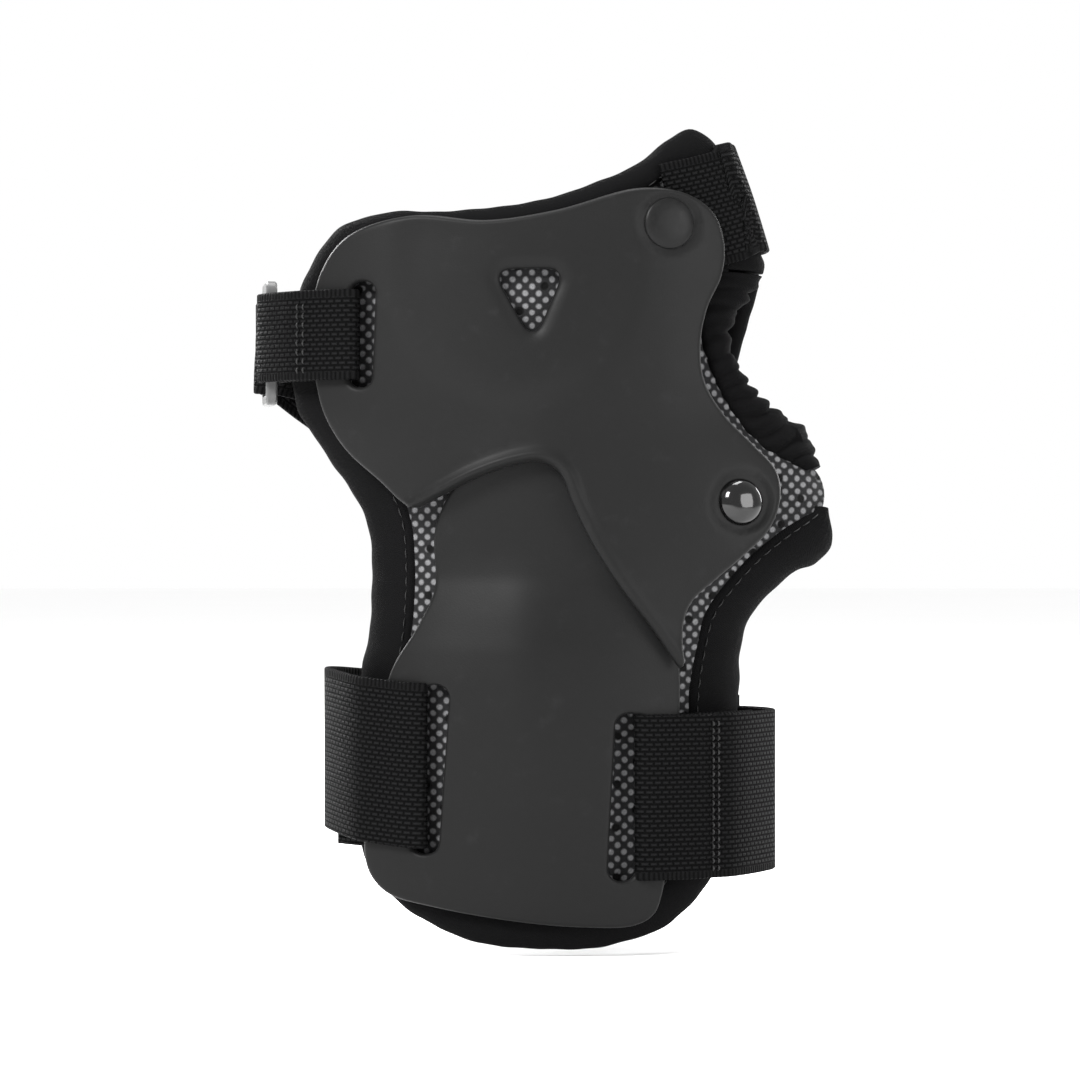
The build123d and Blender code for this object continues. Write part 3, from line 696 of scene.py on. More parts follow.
def webbing(name, width):
    """Ribbed webbing: staggered rows of raised ribs, with a tight selvedge along both edges, and painted
    shade between the ribs.
    """
    s = Shader(name, Specular_IOR_Level=0.014)
    along, across = s.parts(s.uv())
    selvedge = s.remap(width / 2 - abs(across - width / 2), 2.1, 1.5)
    rib = 1.0 - s.bricks(s.uv(), 0.42, 1.0, 1.8, 1.05)
    picks = abs(s.maths("SINE", along * 3.0))
    relief = rib * (1.0 - selvedge) + picks * 0.6 * selvedge
    strands = s.noise(s.uv(scale=(1.2, 7, 1)), 1.6, 3, 0.6)
    # Painted shade: the colour follows the relief, darker in the gaps between the ribs and picks and lighter
    # on the raised ribs; the strand noise adds a random tone.
    shade = s.remap(relief * 0.75 + strands * 0.4, 0.1, 1.05, smooth=False)
    colour = s.blend(shade, 0.0006, (0.0058, 0.0058, 0.006))
    return s.finish(colour, s.remap(relief, 0, 1, 0.75, 0.5), relief + strands * 0.22, 0.42, 0.95)


def printed_lining(name):
    """Black brushed lining with slanted columns of worn, plain marks: arcs, bars and slashes."""
    s = Shader(name, Specular_IOR_Level=0.012)
    column_pitch, row_pitch = 12.5, 3.4
    x, y = s.parts(s.drifted(s.uv(turn=radians(16)), (2.4, 2.4, 0), Scale=0.55, Detail=2.0))
    column = x / column_pitch
    column_at = s.maths("FLOOR", column)
    row = (y + column_at * 17.3) / row_pitch
    row_at = s.maths("FLOOR", row)
    x = (s.maths("FRACT", column) - 0.5) * column_pitch * 0.62
    y = (s.maths("FRACT", row) - 0.5) * row_pitch

    def drawn(first, second):
        cell = s.add("ShaderNodeCombineXYZ", {0: first, 1: second}).outputs[0]
        return s.value("ShaderNodeTexWhiteNoise", "Value", {0: cell}, noise_dimensions="2D")

    def line(distance, outer=0.36, inner=0.2):
        return s.remap(abs(distance), outer, inner)

    choice = drawn(column_at, row_at)
    printed = s.maths("GREATER_THAN", drawn(column_at, s.maths("FLOOR", row_at / 5.0)), 0.3)
    towards = x * (s.maths("ROUND", drawn(row_at, column_at)) * 2.0 - 1.0)
    within = s.remap(abs(x), 1.5, 1.36) * s.remap(abs(y), 1.4, 1.26)
    arc = line(s.maths("POWER", x * x + y * y, 0.5) - 1.05) * s.remap(towards, -0.3, 0.1)
    bars = line(abs(y) - 0.8) * within
    slash = line(towards - y, 0.4, 0.22) * within
    early, late = s.maths("LESS_THAN", choice, 0.36), s.maths("GREATER_THAN", choice, 0.7)
    mark = (arc * early + bars * (1.0 - early - late) + slash * late) * printed
    pile = s.noise(s.uv(), 2.6, 5, 0.75)
    worn = s.noise(s.uv(move=(40, 10, 0)), 0.9, 4, 0.7)
    mark = mark * s.remap(pile, 0.36, 0.55) * s.remap(worn, 0.4, 0.56)
    colour = s.blend(mark, s.blend(pile, (0.0022, 0.0022, 0.0024), (0.0075, 0.0075, 0.008)), (0.3, 0.3, 0.31))
    height = pile + s.noise(s.uv(), 0.35, 3, 0.5) * 2.0
    return s.finish(colour, s.remap(pile, 0.2, 0.8, 0.8, 0.95), height, 0.25, 0.8)


def knitted_cover(name):
    """A smooth close knit, slightly blue-black."""
    s = Shader(name, Specular_IOR_Level=0.03)
    shade, vector = 0.0092, s.place(1000)
    rows = s.waves(vector, 1.5, 0.4, "Z")
    fuzz, broad = s.noise(vector, 1.7, 4, 0.65), s.noise(vector, 0.1, 3, 0.5)
    colour = s.blend(broad, shade * 0.75, (shade * 1.2, shade * 1.2, shade * 1.32))
    return s.finish(colour, s.remap(fuzz, 0.2, 0.8, 0.66, 0.82), rows * 0.4 + fuzz, 0.1, 0.6)


def woven_label(name):
    """A smooth blank patch with a faint satin weave."""
    s = Shader(name, Specular_IOR_Level=0.03)
    gaps, mottle = s.bricks(s.uv(), 0.08, 1.0, 0.9, 0.45), s.noise(s.uv(), 0.35, 4, 0.6)
    colour = s.blend(mottle, (0.0046, 0.0046, 0.0048), (0.0076, 0.0076, 0.008))
    return s.finish(colour, s.remap(mottle, 0.25, 0.75, 0.55, 0.7), 1.0 - gaps + mottle * 1.2, 0.07, 0.6)


def fastener_tape(name, shade, pitch):
    """Hook or loop tape: rows of small raised tufts, with painted shade between them."""
    s = Shader(name, Specular_IOR_Level=0.3)
    tuft = s.remap(s.cells(s.uv(), 1 / pitch, Randomness=0.35), 0.5, 0.15)
    fuzz = s.noise(s.uv(), 3, 4, 0.7)
    # Painted shade: the colour follows the tufts' bump, darker between the tufts and lighter on them.
    colour = s.blend(tuft, shade * 0.4, shade * 1.5)
    return s.finish(colour, s.remap(fuzz, 0.2, 0.8, 0.6, 0.85), tuft + fuzz, 0.4, 0.9)


def sewing_thread(name):
    """Twisted black thread, with painted shade in the grooves of its twist."""
    s = Shader(name, Specular_IOR_Level=0.2)
    twist = s.waves(s.uv(), 2.5, 0.5)
    # Painted shade: the colour follows the twist's bump, darker in its grooves.
    return s.finish(s.blend(twist, 0.004, 0.012), s.remap(twist, 0, 1, 0.45, 0.65), twist, 0.1, 0.6)


def cell_foam(name):
    """Black foam with small cells, inside the panel, with painted shade in the cells' pits."""
    s = Shader(name, Specular_IOR_Level=0.2)
    cells = s.cells(s.place(1000), 1.4, "3D")
    # Painted shade: the colour follows the cells' bump, darker in their pits.
    return s.finish(s.blend(cells, 0.004, 0.011), s.remap(cells, 0, 1, 0.8, 0.95), cells, 0.3, 0.7)


plate_plastic = moulded_plastic("plate_plastic", 0.0058)
splint_plastic = moulded_plastic("splint_plastic", 0.0056)
ring_plastic = moulded_plastic("ring_plastic", 0.045, 0.35)
rivet_matt = satin_metal("rivet_matt", 0.005, 0.38, 0.0, 0.08)
rivet_gloss = satin_metal("rivet_gloss", 0.0015, 0.1, 0.2, 0.25)
washer_metal = satin_metal("washer_metal", 0.0025, 0.6, 0.0, 0.03)
panel_net = net_fabric("net_fabric", radians(45), 2.05)
flap_net = net_fabric("flap_net", radians(20), 2.1)
binding_cloth = stretch_binding("binding", 0.0022)
gathered_cloth = stretch_binding("gathered_binding", 0.002)
cuff_webbing = webbing("cuff_webbing", 38)
hand_webbing = webbing("hand_webbing", 25)
ring_webbing = webbing("ring_webbing", 20)
lining_cloth = printed_lining("lining_fabric")
pad_cloth = knitted_cover("pad_fabric")
label_cloth = woven_label("label_fabric")
hook_tape = fastener_tape("hook_tape", 0.008, 1.1)
loop_tape = fastener_tape("loop_tape", 0.012, 0.8)
thread = sewing_thread("thread")
foam = cell_foam("foam")


# ---------------------------------------------------------------------------------------------
# Outlines on the palm side, as (X, Z)
# ---------------------------------------------------------------------------------------------
# Each row is a point of the panel's outer edge and the point of the binding's inner edge beside it.
PANEL_EDGE = [
    (0, 0.2, 0, 9.2), (17, 1.1, 15, 10), (29, 5.2, 24.5, 13.2), (37, 12.6, 29.5, 18.5), (41.5, 23, 32.4, 27),
    (43.6, 40, 33.6, 42), (45, 58, 34.2, 58), (45.4, 66, 35.6, 66), (47.4, 73.6, 37.6, 74),
    (52, 79.4, 42, 80.4), (58, 84.2, 48, 87), (63, 85.7, 55, 92.6), (65.9, 90, 60, 95.6),
    (64.5, 95.6, 62.6, 97.2), (63.8, 100, 62.6, 100.6),
    (63, 105, 61.8, 105.6), (62, 110, 57, 108.4), (60.2, 115.4, 51.5, 111.4), (54.4, 119.2, 47, 115.4),
    (48.8, 123.8, 42.4, 121.4), (44.6, 129.4, 39.2, 127.6), (42.6, 134.4, 37, 134), (43.6, 140, 36.4, 140),
    (47.6, 145.6, 38, 146.6), (50.6, 151.4, 41, 152), (49.4, 155.4, 40.6, 156.6), (46.6, 163, 37.4, 163),
    (43.4, 171, 34.6, 167.6), (39.6, 178.6, 32.2, 170.6), (34.6, 182.2, 30, 171.4), (29, 179.6, 26.6, 169.8),
    (23, 174.6, 21.6, 166), (12, 169.3, 13, 160.6), (-3.8, 164.8, -3, 156), (-20, 163.4, -20, 154.6),
    (-35, 163.3, -33, 154.4), (-44, 160.6, -39, 151.6), (-50.2, 154, -42.6, 147), (-54.6, 144, -45.4, 140.6),
    (-56, 133, -46.8, 132), (-54.2, 120.6, -45.4, 123.6), (-49, 112, -40.6, 115.6), (-42.6, 102.8, -34, 106),
    (-38.6, 94.6, -29.4, 96.6), (-37.2, 85, -28.2, 86), (-37.9, 70, -28.8, 70), (-40, 58, -31, 57),
    (-40.9, 42, -31.8, 42), (-40.6, 26, -31.4, 27.4), (-37, 15.8, -28.6, 19.6), (-29.4, 8.4, -23.6, 15),
    (-16.8, 2.4, -14.2, 10.8),
]
THUMB_SPAN = (107, 150)  # heights between which the binding is gathered, on the thumb's side
WING_SPAN = (97.6, 107)  # heights at which the net runs round to the back instead
PLATE_EDGE = [
    (-51, 138), (-48.7, 149.5), (-42.6, 157.6), (-28.3, 162), (-11.4, 160.8), (4, 163), (22.3, 168),
    (32.6, 167),
    (38.8, 163), (41.3, 156), (40.6, 149), (37.4, 142), (35.8, 134), (36.6, 126), (41, 118.4), (48, 111.2),
    (52.6, 106), (53.5, 100), (51, 93), (45, 87), (39, 82), (33.4, 77), (31.4, 72), (31.3, 62.4),
]
NOTCH = [
    (30.4, 62.4), (24.2, 71.6), (17.6, 80.4), (11.8, 89.6), (7.4, 98.6), (4.6, 105.2), (0.6, 107.6),
    (-5, 107), (-13, 104.4), (-21.4, 100.2), (-25.8, 98), (-28.6, 98.6), (-34.6, 103.6), (-42.5, 110.5),
    (-47.6, 118.4), (-50, 127),
]
WINDOW_CORNERS = [(-10.2, 150), (5.9, 150.2), (-1.2, 133.6)]
SPLINT_EDGE = [
    (-36, 14.4), (-32.6, 11.8), (-23, 9.6), (-13, 7.9), (-2, 6.5), (9, 5.6), (21, 5.7), (25.4, 8), (27.3, 13),
    (29.3, 33), (31, 52), (30.4, 66), (24, 82), (14, 104), (0, 113), (-14, 108), (-22.6, 94), (-22.9, 79.6),
    (-26.5, 71.7), (-32.7, 61), (-36, 42), (-38.6, 25), (-38, 18),
]
LEFT_SLOT = ((-23.8, 40), 6.2, 37.5, radians(-4))
RIGHT_SLOT = ((19.1, 34), 6.2, 37, radians(-3))
PLATE_SLOT = ((-38.9, 136), 5.4, 23.5, radians(-2))
RIVETS = seen([(29, 160.3), (44.8, 99)], 5.5)


def slot_loop(centre, width, length, turn):
    """A slot's outline, with flattened round ends."""
    half, radius = length / 2 - width * 0.42, width / 2
    ends = [
        (radius * cos(first + pi * k / 8), end + width * 0.42 * sin(first + pi * k / 8))
        for end, first in ((half, 0), (-half, pi))
        for k in range(9)
    ]
    spin = np.array([[cos(turn), -sin(turn)], [sin(turn), cos(turn)]])
    return evenly(np.array(ends) @ spin.T + np.array(centre), 1.0, closed=True)


def rounded_corners(corners, radius, step=0.7):
    """A polygon with its corners rounded."""
    corners = np.array(corners, float)
    found = []
    for k in range(len(corners)):
        before, here, after = corners[k - 1], corners[k], corners[(k + 1) % len(corners)]
        back = (before - here) / np.linalg.norm(before - here)
        ahead = (after - here) / np.linalg.norm(after - here)
        cut = radius / np.tan(np.arccos(np.clip(back @ ahead, -1, 1)) / 2)
        for t in np.linspace(0, 1, 9):
            a, b = here + back * cut, here + ahead * cut
            found.append((1 - t) ** 2 * a + 2 * t * (1 - t) * here + t**2 * b)
    return evenly(np.array(found), step, closed=True)


def circle_loop(centre, radius, count=28):
    """A circle's outline."""
    turn = np.linspace(0, 2 * pi, count, endpoint=False)
    return np.stack([centre[0] + radius * np.cos(turn), centre[1] + radius * np.sin(turn)], -1)


panel_edge = evenly(catmull(PANEL_EDGE, closed=True), 1.0, closed=True)
OUTER_EDGE, INNER_EDGE = seen(panel_edge[:, :2], -2.2), seen(panel_edge[:, 2:], 0.5)


# ---------------------------------------------------------------------------------------------
# The padded panel
# ---------------------------------------------------------------------------------------------
BINDING_PROFILE = [
    (1.05, -1.2), (1.02, -0.2), (0.95, 0.6), (0.82, 1.0), (0.64, 1.2), (0.46, 1.1), (0.3, 0.7), (0.17, 0.05),
    (0.07, -0.85), (0.01, -1.8), (-0.01, -2.7), (0.02, -3.7), (0.09, -4.6), (0.2, -5.3), (0.36, -5.8),
    (0.56, -6.05), (0.76, -6.0), (0.92, -5.7), (1.02, -5.1), (1.05, -4.4), (1.02, -2.8),
]


def soft_relief(along, share):
    """Slight unevenness of a sewn binding."""
    return 0.1 * np.sin(along * 0.31 + 1.2 * np.sin(along * 0.11)) + 0.06 * np.sin(along * 0.83 + share * 3)


def gathers(along, share):
    """Uneven soft folds across a gathered elastic binding."""
    phase = along * 0.72 + 0.9 * np.sin(along * 0.23) + 0.35 * np.sin(share * 5 + along * 0.31)
    folds = np.abs(np.sin(phase)) ** 0.7
    return 1.1 * folds - 0.75 + 0.18 * np.sin(along * 1.9 + share * 3)


def edge_rows_where(chosen):
    """The points of the panel's edge for which chosen is true, as one run in order along it."""
    first = next(i for i in range(len(chosen)) if chosen[i] and not chosen[i - 1])
    around = np.roll(np.arange(len(chosen)), -first)
    return around[chosen[around]]


def near_thumb(span):
    """Which points of the panel's edge are on the thumb's side between two heights."""
    heights = OUTER_EDGE[:, 1]
    return (OUTER_EDGE[:, 0] > 31) & (heights > span[0]) & (heights < span[1])


def build_bindings():
    """The panel's binding, in its plain stretch and its gathered stretch."""
    gathered = edge_rows_where(near_thumb(THUMB_SPAN))
    plain = edge_rows_where(~near_thumb((WING_SPAN[0], THUMB_SPAN[1])))
    piece = rim("edge_binding_cloth", OUTER_EDGE[plain], INNER_EDGE[plain], BINDING_PROFILE, binding_cloth,
                soft_relief)
    settle(piece, "root", "binding", "edge_binding")
    fine = evenly(np.column_stack([OUTER_EDGE[gathered], INNER_EDGE[gathered]]), 0.45)
    profile = catmull(BINDING_PROFILE, closed=True, samples=2)
    piece = rim("thumb_binding_gathers", fine[:, :2], fine[:, 2:], profile, gathered_cloth, gathers)
    settle(piece, "root", "gathered_binding", "thumb_binding_front")
    seam = OUTER_EDGE[plain] * 0.1 + INNER_EDGE[plain] * 0.9
    seam = threads("binding_seam", [on(trough, *seam.T, np.full(len(seam), 0.86))], 2.3, 0.8, 0.16)
    settle(seam, "root", "thread")


def panel_sag(u, v, far):
    """The padded panel's fabric dips beside its seam and swells between."""
    ripple = 0.16 * np.sin(u * 0.21 + 0.8 * np.sin(v * 0.13)) * ease(far / 6)
    return -0.55 * bump(far, 3.2) + 0.25 * ease(far / 14) + ripple


def build_panel():
    """Net face, foam and lining, each inside the binding."""
    wing = ease((OUTER_EDGE[:, 0] - 56) / 4) * bump(OUTER_EDGE[:, 1] - sum(WING_SPAN) / 2, 6)
    reach = INNER_EDGE + (OUTER_EDGE - INNER_EDGE) * (0.22 + 0.78 * wing[:, None])
    loop = evenly(reach, 1.6, closed=True)
    holes = [circle_loop(place, 2.3, 14) for place in RIVETS]
    net = patch("outer_mesh_cloth", trough, loop, panel_net, panel_sag,
                lambda u, v, far: panel_sag(u, v, far) - 0.8, holes, spacing=2.2, edge=0.4)
    settle(net, "root", "net_fabric", "outer_mesh")
    filling = patch("foam_core_pad", trough, loop, foam, lambda u, v, far: panel_sag(u, v, far) - 0.9,
                    -4.2, holes, spacing=3.0, edge=1.4)
    settle(filling, "root", "foam", "foam_core")

    def inner(u, v, far):
        ripple = 0.3 * np.sin(v * 0.17 + np.sin(u * 0.09)) * ease(far / 8)
        return -4.35 + 0.35 * bump(far, 3.0) - 0.3 * ease(far / 16) - ripple

    lining = patch("lining_cloth", trough, loop, lining_cloth, inner,
                   lambda u, v, far: inner(u, v, far) - 0.65, holes, spacing=2.2, edge=0.3)
    settle(lining, "root", "lining_fabric", "lining")


# ---------------------------------------------------------------------------------------------
# The moulded plates
# ---------------------------------------------------------------------------------------------
def splint_lift(v):
    """How far the splint's back stands off the net."""
    return np.interp(v, [0, 60, 66, 82, 200], [2.9, 2.9, 2.6, 0.7, 0.5])


def plate_lift(v):
    """How far the palm plate's back stands off the net."""
    return np.interp(v, [0, 60, 74, 90, 118, 200], [5.3, 5.3, 4.3, 3.3, 2.9, 2.9])


NOTCH_LINE = seen(catmull(NOTCH[:11]), lambda v: plate_lift(v) + 1.25)


def plate_relief(u, v):
    """The plate's moulded form: a lip beside the notch, a dish round the window and two seats."""
    places = np.stack([u, v], -1)
    near = distance_to(places, NOTCH_LINE, closed=False)
    along_top = ease((v - 92) / 12)
    lip = (0.35 + 0.75 * along_top) * bump(near - 1.7, 1.0) + 1.3 * bump(near, 10)
    dish = np.hypot((u + 5) / 26, (v - 151) / 31)
    hollow = -0.95 * ease((1.1 - dish) / 0.34) * ease((172 - v) / 16)
    side_roll = -0.5 * ease((np.abs(u + 4) - 30) / 16) * ease((v - 105) / 20)
    seats = [ease((reach - np.hypot(*(places - place).T)) / 0.9) for place, reach in zip(RIVETS, (6.9, 6.7))]
    return lip + hollow + side_roll - 0.65 * sum(seats)


def build_palm_plate():
    """The palm plate with its window and slot."""
    outline = np.concatenate([catmull(PLATE_EDGE)[:-1], catmull(NOTCH)[:-1]])

    def middle(v):
        return plate_lift(v) + 1.25

    loop = seen(evenly(outline, 1.0, closed=True), middle)
    window = seen(rounded_corners(WINDOW_CORNERS, 2.9, 0.5), middle)

    def top(u, v, far):
        bevel = 0.7 * bump(distance_to(np.stack([u, v], -1), window), 1.8)
        return plate_lift(v) + 2.5 + plate_relief(u, v) - bevel

    def bottom(u, v, far):
        return plate_lift(v) + plate_relief(u, v)

    holes = [window, seen(slot_loop(*PLATE_SLOT), middle)]
    plate = patch("palm_plate_shell", trough, loop, plate_plastic, top, bottom, holes, spacing=1.3, edge=1.1,
                  rows=(0.06, 0.2, 0.4, 0.7, 1.0, 1.5, 2.1, 2.7, 3.4))
    settle(plate, "root", "plate_plastic", "palm_plate")


def build_splint():
    """The forearm splint with its strap slots."""

    def middle(v):
        return splint_lift(v) + 1.1

    loop = seen(smooth_loop(SPLINT_EDGE, 1.0), middle)

    def relief(u, v):
        ridge = 0.7 * bump(u + 3, 7) * ease((v - 30) / 20) * ease((92 - v) / 20)
        flare = 0.5 * ease((18 - v) / 14)
        return ridge - flare

    def top(u, v, far):
        return splint_lift(v) + 2.2 + relief(u, v)

    def bottom(u, v, far):
        return splint_lift(v) + relief(u, v)

    holes = [seen(slot_loop(*slot), middle) for slot in (LEFT_SLOT, RIGHT_SLOT)]
    splint = patch("forearm_splint_shell", trough, loop, splint_plastic, top, bottom, holes, spacing=1.6,
                   edge=0.95, rows=(0.06, 0.2, 0.4, 0.7, 1.0, 1.5))
    settle(splint, "root", "splint_plastic", "forearm_splint")


def build_rivets():
    """A low flush rivet and a high glossy one, each in a shallow seat."""
    for name, place, lift, rise, material, slot, node in (
        ("upper_rivet_head", RIVETS[0], 4.95, 1.0, rivet_matt, "rivet_matt", "upper_rivet"),
        ("thumb_rivet_head", RIVETS[1], 5.2, 2.6, rivet_gloss, "rivet_gloss", "thumb_rivet"),
    ):
        centre, out = on(trough, *place, lift)
        radius = 5.7 if rise < 2 else 5.2
        dome = [(0, 1), (0.3, 0.97), (0.6, 0.82), (0.84, 0.5), (0.97, 0.12)]
        profile = [(radius * share, rise * height) for share, height in dome]
        profile += [(radius, -0.35), (radius * 0.93, -0.6), (radius * 0.6, -0.65)]
        profile += [(2.0, depth) for depth in (-0.7, -4, -8, -12.6)]
        rivet = lathe(name, centre, out, profile, material)
        settle(rivet, "root", slot, node)


def repaint(node, material):
    """Gives a carried-over node a better material."""
    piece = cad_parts[node]
    for slot in piece.material_slots:
        slot.material = material


# ---------------------------------------------------------------------------------------------
# The back of the hand
# ---------------------------------------------------------------------------------------------
FLAP_EDGE = [
    (-21, 98), (-24, 108), (-14, 122.5), (2, 135.5), (24, 153.5), (42, 167.5), (48, 162), (49, 152),
    (45.6, 140), (41.8, 128), (38.4, 118), (40, 112.6), (48, 113), (57, 114), (60.6, 110), (62.4, 100),
    (60.5, 92), (52, 88.6), (30, 87.6), (6, 87.6), (-15, 88),
]
THUMB_EDGE = [
    (48.6, 152), (46.2, 142), (42.6, 131), (38.8, 121), (37.6, 115.2), (41, 111.8), (48, 112.6), (55, 114),
    (60.4, 112.4),
]
WING_EDGE = [(-13, 88.2), (14, 88.2), (42, 88.6), (54, 90), (60.4, 92.6), (62.3, 95.4)]
STRIP_PROFILE = [
    (1, -1.4), (0.97, -0.2), (0.88, 0.55), (0.7, 1.0), (0.5, 1.15), (0.3, 1.0), (0.12, 0.5), (0.03, -0.3),
    (0, -1.4),
    (0.03, -2.6), (0.14, -3.5), (0.34, -4.0), (0.6, -4.1), (0.82, -3.9), (0.95, -3.3),
]


HAND_AXIS = (0.0, -6.0)


def side_lines(path, width):
    """Two lines beside a flat path, half the width to each side."""
    run = np.gradient(path, axis=0)
    run /= np.linalg.norm(run, axis=1, keepdims=True)
    side = np.stack([-run[:, 1], run[:, 0]], -1)
    return path + side * width / 2, path - side * width / 2


def build_flap():
    """The net flap and the bindings of its thumb edge and its lower edge."""
    loop = smooth_loop(on_arch(FLAP_EDGE), 1.6)

    def top(u, v, far):
        return 0.1 - 0.4 * bump(far, 3) + 0.2 * np.sin(u * 0.19 + v * 0.07) * ease(far / 8)

    flap = patch("hand_flap_cloth", arch, loop, flap_net, top, lambda u, v, far: top(u, v, far) - 2.6,
                 spacing=2.2, edge=1.0)
    settle(flap, "root", "net_fabric", "hand_flap")
    for name, line, width, node, step in (
        ("thumb_binding_back_cloth", THUMB_EDGE, 8.4, "thumb_binding_back", 0.7),
        ("wing_binding_cloth", WING_EDGE, 8, "wing_binding", 1.2),
    ):
        outer, inner = side_lines(evenly(catmull(on_arch(line)), step), width)
        piece = rim(name, outer, inner, STRIP_PROFILE, binding_cloth, soft_relief, surface=arch)
        settle(piece, "root", "binding", node)


def hand_section(angle, z, out):
    """Points of the closed hand section, at an angle in plan about HAND_AXIS.

    The section is the nearer of the palm side and the back, with a soft corner between them.
    """
    angle, z = np.asarray(angle, float), np.asarray(z, float)
    ways = np.cos(angle), np.sin(angle)
    palm_half = np.interp(z, HEIGHTS, TROUGH_HALF) * TROUGH_WIDEN
    found = []
    for middle, middle_y, across, depth in (
        (np.interp(z, HEIGHTS, TROUGH_MIDDLE), TROUGH_CENTRE_Y, palm_half, TROUGH_DEPTH),
        (np.interp(z, HEIGHTS, ARCH_MIDDLE), ARCH_CENTRE_Y, np.interp(z, HEIGHTS, ARCH_HALF), ARCH_HEIGHT),
    ):
        px, py = (HAND_AXIS[0] - middle) / (across + out), (HAND_AXIS[1] - middle_y) / (depth + out)
        dx, dy = ways[0] / (across + out), ways[1] / (depth + out)
        a, b, c = dx**2 + dy**2, px * dx + py * dy, px**2 + py**2 - 1
        found.append((-b + np.sqrt(np.maximum(b**2 - a * c, 0))) / a)
    soft = 1.5
    reach = -np.log(np.exp(-found[0] / soft) + np.exp(-found[1] / soft)) * soft
    reach = np.maximum(reach, np.minimum(*found) - 0.6)
    return np.stack([HAND_AXIS[0] + reach * ways[0], HAND_AXIS[1] + reach * ways[1], z + 0 * angle], -1)


def plan_angles(points):
    """The angles in plan of points about HAND_AXIS."""
    return np.arctan2(points[..., 1] - HAND_AXIS[1], points[..., 0] - HAND_AXIS[0])


def hand_band(name, path, out, width, material):
    """Webbing that lies on the hand section along a path of (angle in plan, Z)."""
    line = edge_rows(evenly(path3d(path, out), 0.9))
    angles, z = plan_angles(line), line[:, 2]
    turn = hand_section(angles + 0.02, z, out) - hand_section(angles - 0.02, z, out)
    normals = np.cross(turn, hand_section(angles, z + 1, out) - hand_section(angles, z - 1, out))
    normals /= np.linalg.norm(normals, axis=1, keepdims=True)
    if np.sum(normals[:, :2] * line[:, :2]) < 0:
        normals = -normals
    side = np.cross(normals, np.gradient(line, axis=0))
    side /= np.linalg.norm(side, axis=1, keepdims=True)
    steps = across_steps(width)
    grid = line[:, None] + side[:, None] * steps[None, :, None]
    grid = hand_section(plan_angles(grid), grid[..., 2], out)
    fade = ease((0.76 - np.linspace(0, 1, len(line))) / 0.08)[:, None, None]
    grid += (eased_along(grid) - grid) * fade
    return strip(name, grid, np.repeat(normals[:, None], len(steps), 1), WEB, material)


def eased_along(rows):
    """Rows of points with their sharp bends smoothed along the first axis, and their ends kept."""
    weights = np.exp(-0.5 * (np.arange(-7, 8) / 2.6) ** 2)
    longer = np.concatenate([2 * rows[:1] - rows[7:0:-1], rows, 2 * rows[-1:] - rows[-2:-9:-1]])
    return sum(w * longer[k : k + len(rows)] for k, w in enumerate(weights / weights.sum()))


def path3d(path, out):
    """A smooth line on the hand section through places of (angle, Z)."""
    flat = catmull(path, samples=24)
    return hand_section(flat[:, 0], flat[:, 1], out)


def plan_angle(x, z, back=True):
    """The plan angle of the hand section's point at X, on its back or its palm side."""
    angles = np.linspace(0, pi, 721) if back else np.linspace(-pi / 2, 0, 721)
    points = hand_section(angles, np.full(len(angles), float(z)), 0)
    return float(angles[np.argmin(np.abs(points[:, 0] - x))])


HAND_STRAP_BACK_PATH = [(-26, 112.6), (-15.6, 121.4), (0, 134.3), (16, 147.6), (32, 160), (40, 164.8)]
HAND_STRAP_FRONT_PATH = [(41, 165.4), (33, 163), (27, 161.4)]


def build_hand_strap():
    """The strap that slants across the back of the hand and wraps to the palm side, under the plate."""
    path = [(plan_angle(x, z), z) for x, z in HAND_STRAP_BACK_PATH]
    path += [(0.16, 167), (-0.14, 167)]
    path += [(plan_angle(x, z, back=False), z) for x, z in HAND_STRAP_FRONT_PATH]
    strap = hand_band("hand_strap_webbing", path, 2.05, 25, hand_webbing)
    settle(strap, "root", "webbing", "hand_strap")
    line = path3d([(plan_angle(x - 6.3, z + 6.5), z + 6.5) for x, z in HAND_STRAP_BACK_PATH[1:]], 2.95)
    angles = plan_angles(line)
    out = np.column_stack([np.cos(angles), np.sin(angles), 0 * angles])
    seam = threads("hand_strap_hem", [(line, out)], 2.0, 0.6, 0.2)
    settle(seam, "root", "thread")


def build_wrist_strap():
    """The strap across the back of the wrist, with its hook and loop patches."""
    start, end = arch_u(-18.2, 96.2), arch_u(51.7, 96.2)
    u = edge_rows(np.arange(start, end, 0.9)[:, None])[:, 0]
    steps = across_steps(25)
    left = np.clip((u[-1] - u) / 7, 0, 1)
    widths = 0.3 + 0.7 * np.sqrt(np.clip(1 - (1 - left) ** 2.6, 0, 1))
    v = 97.8 - 0.04 * (u - u[0])[:, None] + steps[None] * widths[:, None]
    uu = np.repeat(u[:, None], len(steps), 1)
    lift = 3.7 + 0.25 * np.sin(uu * 0.16) * np.sin(v * 0.11)
    points, normals = on(arch, uu, v, lift)
    strap = strip("wrist_strap_webbing", points, normals, WEB, hand_webbing)
    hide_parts("wrist_strap")
    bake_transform(strap)
    loop = rounded_corners(on_arch([(30, 93.2), (50, 93.2), (50, 107.6), (30, 107.6)]), 1.2)
    hooks = patch("wrist_hooks", arch, loop, hook_tape, 2.7, 1.4, spacing=2.5, edge=0.4)
    settle(hooks, "wrist_strap", "hook_tape", "wrist_hook_patch")
    loops = patch("wrist_loops", arch, loop, loop_tape, 1.0, 0.1, spacing=2.5, edge=0.3)
    settle(loops, "root", "loop_tape", "wrist_loop_patch")


